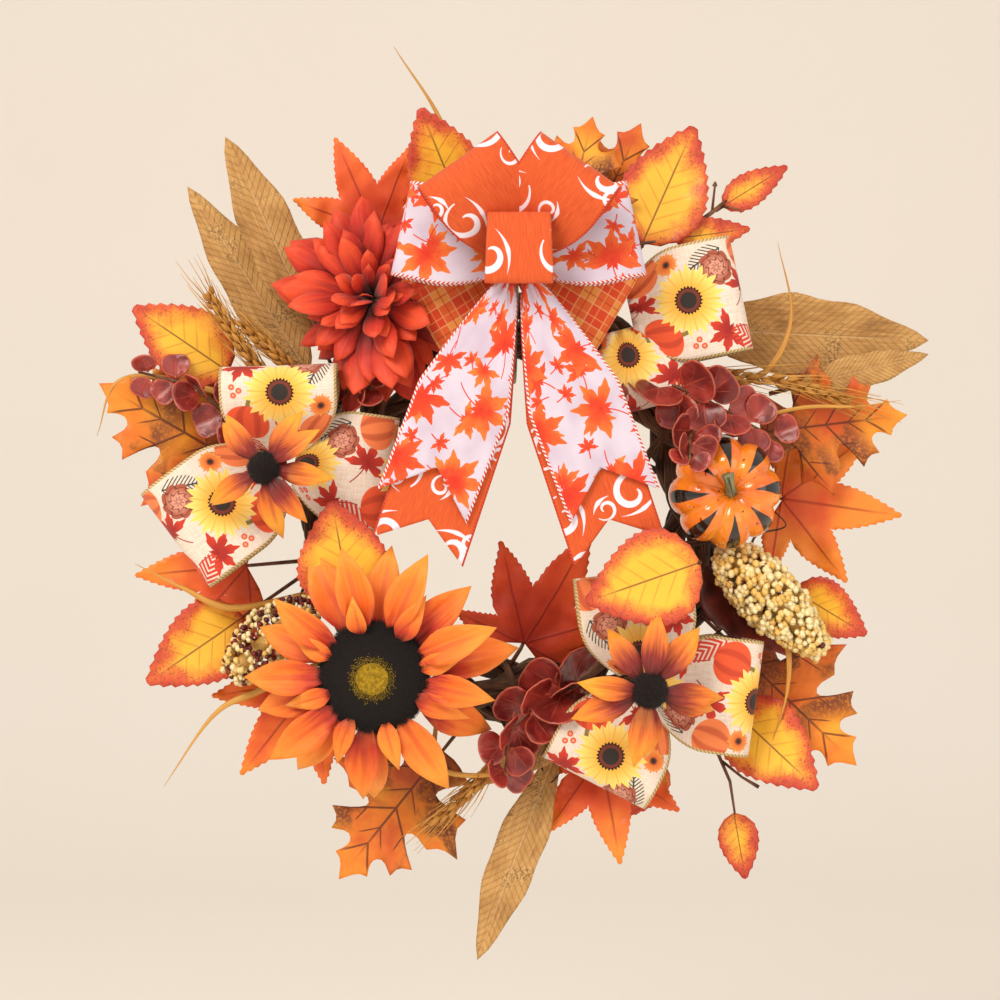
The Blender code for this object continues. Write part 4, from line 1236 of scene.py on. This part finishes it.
def leaf_motif(look, ground, x, y, size, light, dark, kept=1.0):
    """A printed maple leaf, darker to its foot, with pale veins and a thin curved stalk."""
    reach, turn = polar(x, y)
    lobe = 1 - ((turn * (3.5 / pi) + 0.5).part() - 0.5).size() * 2
    foot = 1 - turn.size().rise(2.0, 2.35) * 0.62
    limit = (lobe * 0.50 + (turn * 21).cosine() * 0.05 + 0.46) * foot
    mask = inside(reach, limit * size) * kept
    veins = ((turn * 3.5).sine().size() * reach).fall(0.0001, 0.0006)
    bow = kept * (x + y * y * 22).size().fall(0.0002, 0.0005)
    bow = bow * (y / size).rise(-1.05, -1.0) * (y / size).fall(-0.1, 0.0)
    wash = look.noise(170, 3.0)
    body = look.mix((reach / size + (wash - 0.5) * 0.9).rise(0.0, 0.95), dark, light)
    body = look.mix(veins * 0.5, body, look.mix(0.5, dark, "8c1a10"))
    return look.mix(mask, look.mix(bow, ground, dark), body)


def strokes(x, y, slant, pitch, gap, squash):
    """Slanting strokes either side of a stem, kept within an oval."""
    drawn = ((x.size() * slant + y) / pitch).part().fall(*gap)
    return drawn * inside((x * x + y * y * squash).math("SQRT"), 0.0060)


def weave(across, along, pitch):
    """Over-and-under threads."""
    return ((across * (2 * pi / pitch)).sine() * (along * (2 * pi / pitch)).sine()) * 0.5 + 0.5


def stitched(look, colour, across, along, width, edge, pitch, slant, gap, dark, pale):
    """The colour with thread wound over both edges of the ribbon, and the thread's relief."""
    edge = (width / 2 - across.size()).fall(*edge)
    stitch = (along * (2 * pi / pitch) + across * slant).sine().rise(*gap)
    return look.mix(edge, colour, look.mix(stitch, dark, pale)), edge * stitch


cream = Look("printed_linen", 0.85, Sheen_Weight=0.1)
u, v = cream.plan()
slub = cream.noise(1.0, 3.0, (u * 1500, v * 110, 0.0))
slub = slub + cream.noise(1.0, 3.0, (u * 110, v * 1500, 5.0))
threads = weave(u, v, 0.0011)
colour = cream.mix((slub - 0.6).rise(0.1, 0.7), "ddcbb8", "f1e5d8")
colour = cream.mix(threads * 0.18, colour, "c9b49c")
pitch = 0.060
x, y = printed(u, v, pitch, (-0.021, 0.050), 25)
needles = strokes(x, y, 0.9, 0.0023, (0.30, 0.42), 0.35)
needles = needles.most(x.size().fall(0.0003, 0.0006) * y.size().fall(0.0095, 0.0098))
colour = cream.mix(needles, colour, "37403a")
for where, turn in (((0.019, 0.055), 200), ((-0.004, 0.010), 70)):
    colour = leaf_motif(cream, colour, *printed(u, v, pitch, where, turn), 0.0125, "cf3a22",
                        "9c1f1a")
x, y = printed(u, v, pitch, (0.024, 0.006), -30)
colour = cream.mix(strokes(x, y, 1.1, 0.0034, (0.55, 0.65), 0.30), colour, "d2402a")
x, y = printed(u, v, pitch, (-0.015, 0.055), 0)
reach, turn = polar(x, y)
scale = (turn * 4 + (reach / 0.0030) * 2.2).cosine().size()
lip = (reach / 0.0030 + scale * 0.55).part().rise(0.60, 0.95)
cone = cream.mix(lip, cream.mix((reach / 0.0095).rise(0.2, 0.9), "dc9a82", "a8563e"), "6e2a1e")
colour = cream.mix(inside(reach, 0.0085 + scale * 0.0012), colour, cone)
for where, tint in (((0.018, 0.020), "e4572e"), ((-0.024, 0.014), "ec8048")):
    x, y = printed(u, v, pitch, where, 15)
    wide = (0.000121 - y * y).most(0.000001).math("SQRT")
    ribs_drawn = ((x / wide) * 7.0).cosine().fall(-0.9, 0.2)
    gourd = cream.mix(ribs_drawn * 0.55, tint, "a82c18")
    stub = inside((x - 0.001).size(), 0.0012) * inside((y - 0.0115).size(), 0.0022)
    colour = cream.mix(stub, colour, "8a7434")
    colour = cream.mix(inside((x * x * 0.72 + y * y).math("SQRT"), 0.0100), colour, gourd)
for where in ((0.0235, 0.036), (0.0205, 0.0385), (0.0243, 0.0405)):
    x, y = printed(u, v, pitch, where)
    berry = (x * x + y * y).math("SQRT")
    colour = cream.mix(inside(berry, 0.0016), colour,
                       cream.mix(berry.rise(0.0, 0.0013), "f3b08c", "d8502a"))


def flower_motif(look, ground, x, y, size, petals, tips, base, dot):
    """A printed flower head, its petals parted by thin darker lines."""
    reach, turn = polar(x, y)
    front = ((turn * (petals / (2 * pi)) + 0.5).part() - 0.5).size() * 2
    limit = (1 - front * 0.42).most((front * 0.30 + 0.58)) * size
    parting = front.rise(0.80, 1.0) * 0.6 + (front * 1.0).fall(0.0, 0.12) * 0.25
    body = look.mix((reach / size).rise(0.25, 0.95), base, tips)
    body = look.mix(parting, body, look.mix(0.4, base, "c0601c"))
    ground = look.mix(inside(reach, limit), ground, body)
    toothed_edge = dot + (turn * 24).cosine() * 0.0005
    ground = look.mix(inside(reach, toothed_edge), ground, "2a120e")
    ground = look.mix(inside(reach, dot * 0.86), ground, "74301f")
    return look.mix(inside(reach, dot * 0.62), ground, "2b2420")


x, y = printed(u, v, pitch, (-0.0225, 0.029), 10)
colour = flower_motif(cream, colour, x, y, 0.0068, 11, "f19a4a", "e0702c", 0.0018)
x, y = printed(u, v, pitch, (-0.001, 0.037), 5)
colour = flower_motif(cream, colour, x, y, 0.0200, 14, "fbe07a", "f2b23c", 0.0072)
colour, hem = stitched(cream, colour, u, v, cream_width, (0.0012, 0.0016), 0.0021, 3000,
                       (-0.5, 0.3), "a98a52", "dcc38c")
cream.paint(colour, slub * 0.3 + threads * 0.5 + hem, 0.0004, 0.5)


def ribbon_loop(craft, pinch, heading, length, height, tilt, width, start, root, opening, shift=0.0,
                flip=1, rows=56, columns=20):
    """One loop, out along the front, round and back behind; it spreads from its gathered root
    to full width within the opening. Gives the ribbon's length."""
    out = Vector((cos(radians(heading)), 0.0, sin(radians(heading))))
    aside = Vector((-out.z, 0.0, out.x)) * flip
    lean = radians(tilt)
    ahead, up = out * cos(lean) + FRONT * sin(lean), FRONT * cos(lean) - out * sin(lean)
    points, gone, last = [], [], None
    for k in range(rows + 1):
        a = k / rows
        s = start + (length - start) * sin(pi * a)
        line = pinch + ahead * s + up * (height * sin(2 * pi * a) + 0.0018 * cos(pi * a))
        gone.append(0.0 if last is None else gone[-1] + (line - last).length)
        last = line
        half = root + (width / 2 - root) * (1 - (1 - min(1.0, (s - start) / opening)) ** 2)
        for j in range(columns + 1):
            share = 2 * j / columns - 1
            fold = 0.0021 * cos(4.0 * pi * share) * np.exp(-(s - start) / 0.010)
            droop = 0.0012 * noise.noise(line * 60 + aside * share * 1.5) - 0.0009 * share ** 2
            points.append(line + aside * half * share + up * (fold + droop))
    faces, plans = net(rows, columns, lambda m, n: ((2 * m / columns - 1) * width / 2,
                                                    gone[n] + shift), columns + 1)
    craft.add((points, faces, plans, [0.0] * len(points)))
    return gone[-1]


for word, where, loops in (
        ("left", (168, 0.028, 0.046), (
            (92, 0.052, 18, 0.0, 1), (217, 0.072, 4, 0.002, 1), (-8, 0.058, -2, 0.030, -1))),
        ("low", (-54, 0.014, 0.052), (
            (97, 0.060, 6, 0.024, -1), (-8, 0.060, 2, 0.040, 1), (-117, 0.060, -4, 0.0, -1))),
        ("high", (62, 0.016, 0.046), ((12, 0.066, 4, 0.004, -1), (-76, 0.050, -5, 0.022, 1)))):
    for number, (heading, length, tilt, shift, flip) in enumerate(loops, 1):
        loop = Craft()
        run = ribbon_loop(loop, spot(*where), heading, length, 0.011, tilt, cream_width, 0.006,
                          0.013, 0.030, shift, flip)
        replaced = () if (word, number) == ("high", 2) else (f"cream_{word}_loop_{number}",)
        piece = loop.make(f"cream_{word}_loop_{number}_look", cream, "cream_ribbon", *replaced,
                          wall=ribbon_wall)


# ---- Bow ----
# Three wired ribbons, 50 mm wide, pinched together in the middle: orange with pale scrolls on
# top, white with maple leaves under it and plaid below. A turn of the orange one hides the pinch.
bow_width = 0.050


def scattered(look, across, along, pitch, seed, wander):
    """Places in random cells: distances from each cell's motif, turned at random, and a draw."""
    u, v = across / pitch + 0.31 * seed, along / pitch + 0.17 * seed
    cell = look.node("CombineXYZ", {}, {0: u.math("FLOOR"), 1: v.math("FLOOR"), 2: seed})
    draw = look.node("TexWhiteNoise", {"noise_dimensions": "3D"}, {"Vector": cell}, "Color")
    parts = [look.node("SeparateXYZ", {}, {0: draw}, k) for k in range(3)]
    x = (u.part() - 0.5 + (parts[0] - 0.5) * wander) * pitch
    y = (v.part() - 0.5 + (parts[1] - 0.5) * wander) * pitch
    turn = parts[2] * (2 * pi)
    c, s = turn.cosine(), turn.sine()
    return x * c + y * s, y * c - x * s, parts[0]


orange = Look("orange_linen", 0.8, Sheen_Weight=0.1)
u, v = orange.plan()
threads = weave(u, v, 0.0009)
slub = orange.noise(1.0, 3.0, (u * 1800, v * 120, 0.0))
colour = orange.mix(slub.rise(0.3, 0.7), "cd4b12", "e06024")
colour = orange.mix(threads * 0.25, colour, "b63a0c")
for seed, pitch, grow in ((3, 0.036, 1.15), (8, 0.024, 0.60)):
    x, y, draw = scattered(orange, u, v, pitch, seed, 0.15)
    reach, turn = polar(x, y)
    curl = (turn + pi) * (0.0012 * grow) + 0.0026 * grow
    pen = ((turn * 0.5).cosine() * 0.0013 + 0.0003) * grow
    swash = inside((reach - curl).size(), pen)
    tail_x = x + 0.0088 * grow - y * y * (30 / grow)
    hook = inside(tail_x.size(), (1 - (y / (0.011 * grow)).size())
                  * 0.0012) * (y / (0.011 * grow)).size().fall(0.95, 1.0)
    drawn = swash.most(hook) * (draw.rise(0.60, 0.61) if grow < 1 else draw.rise(0.12, 0.13))
    colour = orange.mix(drawn, colour, "ece2ee")
colour, hem = stitched(orange, colour, u, v, bow_width, (0.0009, 0.0012), 0.0019, 3000,
                       (-0.5, 0.3), "b8320e", "e04a1c")
orange.paint(colour, threads * 0.6 + slub * 0.3 + hem, 0.0004, 0.45)

white = Look("maple_linen", 0.8, Sheen_Weight=0.1)
u, v = white.plan()
threads = weave(u, v, 0.0009)
wash = white.noise(1.0, 2.0, (u * 45, v * 30, 0.0))
colour = white.mix(wash.rise(0.35, 0.7), "ddd4e4", "ccbbd0")
colour = white.mix(threads * 0.25, colour, "a896aa")
for seed, pitch, size, light, dark in (
        (4, 0.0150, 0.0058, "ea6e2c", "d83a18"), (9, 0.0270, 0.0105, "f08a38", "dc3c16"),
        (6, 0.0380, 0.0165, "f08030", "d8300f")):
    x, y, draw = scattered(white, u, v, pitch, seed, 0.22)
    colour = leaf_motif(white, colour, x, y, size, white.mix(draw, light, "e2481c"), dark,
                        draw.rise(0.45, 0.46) if size < 0.01 else 1.0)
colour, hem = stitched(white, colour, u, v, bow_width, (0.0012, 0.0014), 0.0024, 2500,
                       (-0.1, 0.1), "f6eef2", "dc3f26")
white.paint(colour, threads * 0.6 + hem, 0.0004, 0.45)

plaid = Look("plaid_cotton", 0.8, Sheen_Weight=0.1)
u, v = plaid.plan()
threads = weave(u, v, 0.0009)
a, b = (u / 0.0185 + 0.2).part(), (v / 0.0185).part()
bars = [p.rise(0.08, 0.10) * p.fall(0.50, 0.52) for p in (a, b)]
colour = plaid.mix((bars[0] + bars[1]) * 0.5, "df4216", "ea7c32")
colour = plaid.mix((bars[0] * bars[1]), colour, "ee9c46")
for p in (a, b):
    for centre, half, tint, share in (
            (0.29, 0.014, "c23416", 0.7), (0.08, 0.012, "f6cf90", 0.5),
            (0.52, 0.012, "f6cf90", 0.5), (0.76, 0.012, "f0b068", 0.5)):
        colour = plaid.mix((p - centre).size().fall(half, half + 0.012) * share, colour, tint)
colour = plaid.mix(threads * 0.18, colour, "b8401a")
plaid.paint(colour, threads, 0.0003, 0.45)

for node, look, slot, headings, length, height, tilt, level, shift in (
        ("bow_plaid_loops", plaid, "plaid_ribbon", (210, -30), 0.061, 0.0056, -7, -0.0088, 0.0),
        ("bow_maple_loops", white, "maple_ribbon", (168, 12), 0.063, 0.0068, 6, 0.0, 0.013),
        ("bow_orange_loops", orange, "orange_ribbon", (125, 55), 0.060, 0.0085, 26, 0.0088, 0.006)):
    loop, run = Craft(), 0.0
    for number, heading in enumerate(headings):
        run += ribbon_loop(loop, spot(90, 0.034, 0.074 + level), heading, length, height, tilt,
                           bow_width, 0.004,
                           0.010, 0.040, shift + 0.041 * number, 1 if number else -1)
    piece = loop.make(f"{node}_look", look, slot, node, wall=ribbon_wall)

# The knot is one turn of ribbon with both edges folded in behind.
centre = spot(90, 0.034, 0.1055)
profile = [(-0.0120, 0.0014), (-0.0165, 0.0012), (-0.0176, 0.0006), (-0.0170, 0.0)]
far_side = [(-x, inset) for x, inset in reversed(profile)]
profile += [(-0.0150 + 0.0025 * k, 0.0) for k in range(13)] + far_side
points, run_place = [], []
turns, wide = 48, len(profile)
for k in range(turns):
    angle = 2 * pi * (k + 0.5) / turns
    c, s = cos(angle), sin(angle)
    sides = 1 if s >= 0 else -1
    run_place.append(0.0181 * abs(s) ** 0.35 * sides + 0.004 - 0.024 * min(c, 0.0) * sides)
    for x, inset in profile:
        lift = (0.0049 * c ** 0.5 if c >= 0 else -0.0230 * abs(c) ** 0.9) * (1 - inset / 0.0060)
        rise = 0.0181 * abs(s) ** 0.35 * sides * (1 - inset / 0.0181) * (1 + 0.50 * min(c, 0.0))
        wrinkle = 0.0004 * noise.noise(Vector((x * 260, k * 0.35, 4)))
        points.append(centre + Vector((x * (0.95 - 2.2 * rise), 0, rise)) + FRONT
                      * (lift + wrinkle))
faces, plans = net(turns, wide - 1, lambda m, n: (profile[m][0], run_place[n % turns]), wide, True)
faces = [[corner % len(points) for corner in face] for face in faces]
knot = Craft()
knot.add((points, faces, plans, [0.0] * len(points)))
piece = knot.make("bow_knot_look", orange, "orange_ribbon", "bow_knot", wall=ribbon_wall)


# ---- Tails ----
# Two tails hang from the knot on each side: a white maple one in front of a longer orange one.
# Each is gathered where it is wired in, and its end is cut to a V.
def ribbon_tail(name, side, spread, length, notch, slope, level, look, slot, shift):
    """One tail on its side, -1 or 1, spread degrees from straight down, notch deep at its end."""
    hinge = spot(90, 0.034, 0.091 - level) - Vector((0, 0, 0.0215))
    hinge.x = side * 0.0078
    down = Vector((side * sin(radians(spread)), 0.06, -cos(radians(spread)))).normalized()
    place = basis(hinge, down, FRONT)
    points, laid, rows, columns = [], [], 60, 20
    for k in range(rows + 1):
        for j in range(columns + 1):
            share = 2 * j / columns - 1
            y = -0.006 + (length + 0.006 - notch * (1 - abs(share))) * k / rows
            half = 0.0072 + 0.0178 * min(1.0, max(0.0, y * slope / 0.019)) ** 0.9
            half *= 1 + min(0.0, y) / 0.012
            fold = 0.0012 * cos(3 * pi * share) * np.exp(-max(0.0, y) / 0.016)
            sway = 0.0012 * sin(y / 0.021) * min(1.0, max(0.0, y) / 0.04) - 0.0011 * share ** 2
            points.append(Vector((share * half, y, fold + sway)))
            laid.append((share * bow_width / 2, y + shift))
    faces, plans = net(rows, columns, lambda m, n: laid[n * (columns + 1) + m], columns + 1)
    tail = Craft()
    tail.add((points, faces, plans, [0.0] * len(points)), place)
    word = "left" if side < 0 else "right"
    piece = tail.make(f"{name}_look", look, slot, name, body=f"{word}_tail", wall=ribbon_wall)


for side, word in ((-1, "left"), (1, "right")):
    ribbon_tail(f"tail_{word}_maple", side, 21, 0.119, 0.022, 0.33, 0.0, white, "maple_ribbon",
                0.010 + 0.053 * side)
    ribbon_tail(f"tail_{word}_orange", side, 18.5, 0.142, 0.018, 0.30, 0.003, orange,
                "orange_ribbon", 0.03 * side)


# ---- Stage, light and camera ----
# A pale floor that sweeps up far behind, two soft studio lights and a straight-on camera.
backdrop = Look("backdrop_paper", 0.95)
backdrop.paint(backdrop.mix(backdrop.noise(3, 2.0), "f8f1e8", "faf4ec"))
sweep = [(-4.0, -0.62), (1.6, -0.62)]
sweep += [(1.6 + 0.9 * sin(radians(a)), -0.62 + 0.9 * (1 - cos(radians(a))))
          for a in range(10, 91, 10)]
sweep.append((2.5, 3.5))
corners = [(x, y, z) for y, z in sweep for x in (-5.0, 5.0)]
strips = [(2 * k, 2 * k + 1, 2 * k + 3, 2 * k + 2) for k in range(len(sweep) - 1)]
paper = bpy.data.meshes.new("backdrop")
paper.from_pydata(corners, [], strips)
paper.polygons.foreach_set("use_smooth", [True] * len(strips))
paper.materials.append(backdrop.material)
backdrop_piece = bpy.data.objects.new("backdrop", paper)
bpy.context.scene.collection.objects.link(backdrop_piece)

world = bpy.data.worlds.new("studio")
world.use_nodes = True
world.node_tree.nodes["Background"].inputs["Color"].default_value = rgb("fbf4ec")
world.node_tree.nodes["Background"].inputs["Strength"].default_value = 0.75
bpy.context.scene.world = world
middle = Vector((0.0, 0.0, ring_middle.z))


def softbox(name, place, size, power, tint):
    """A square studio light, turned to the wreath's middle."""
    lamp = bpy.data.lights.new(name, "AREA")
    lamp.size, lamp.energy, lamp.color = size, power, rgb(tint)[:3]
    holder = bpy.data.objects.new(name, lamp)
    holder.location = place
    holder.rotation_euler = (middle - Vector(place)).to_track_quat("-Z", "Y").to_euler()
    bpy.context.scene.collection.objects.link(holder)


softbox("key_light", (-0.9, -1.5, 1.0), 0.8, 26, "fff4e8")
softbox("fill_light", (1.2, -1.4, 0.1), 1.4, 9, "fff8f0")

lens = bpy.data.cameras.new("camera")
lens.lens, lens.sensor_width = 85.0, 36.0
camera = bpy.data.objects.new("camera", lens)
view_width = 0.54
distance = view_width / lens.sensor_width * lens.lens
camera.location = (-0.0097, -distance - 0.05, ring_middle.z + 0.0054)
camera.rotation_euler = (radians(90), 0.0, 0.0)
bpy.context.scene.collection.objects.link(camera)
bpy.context.scene.camera = camera
bpy.context.scene.view_settings.view_transform = "Standard"
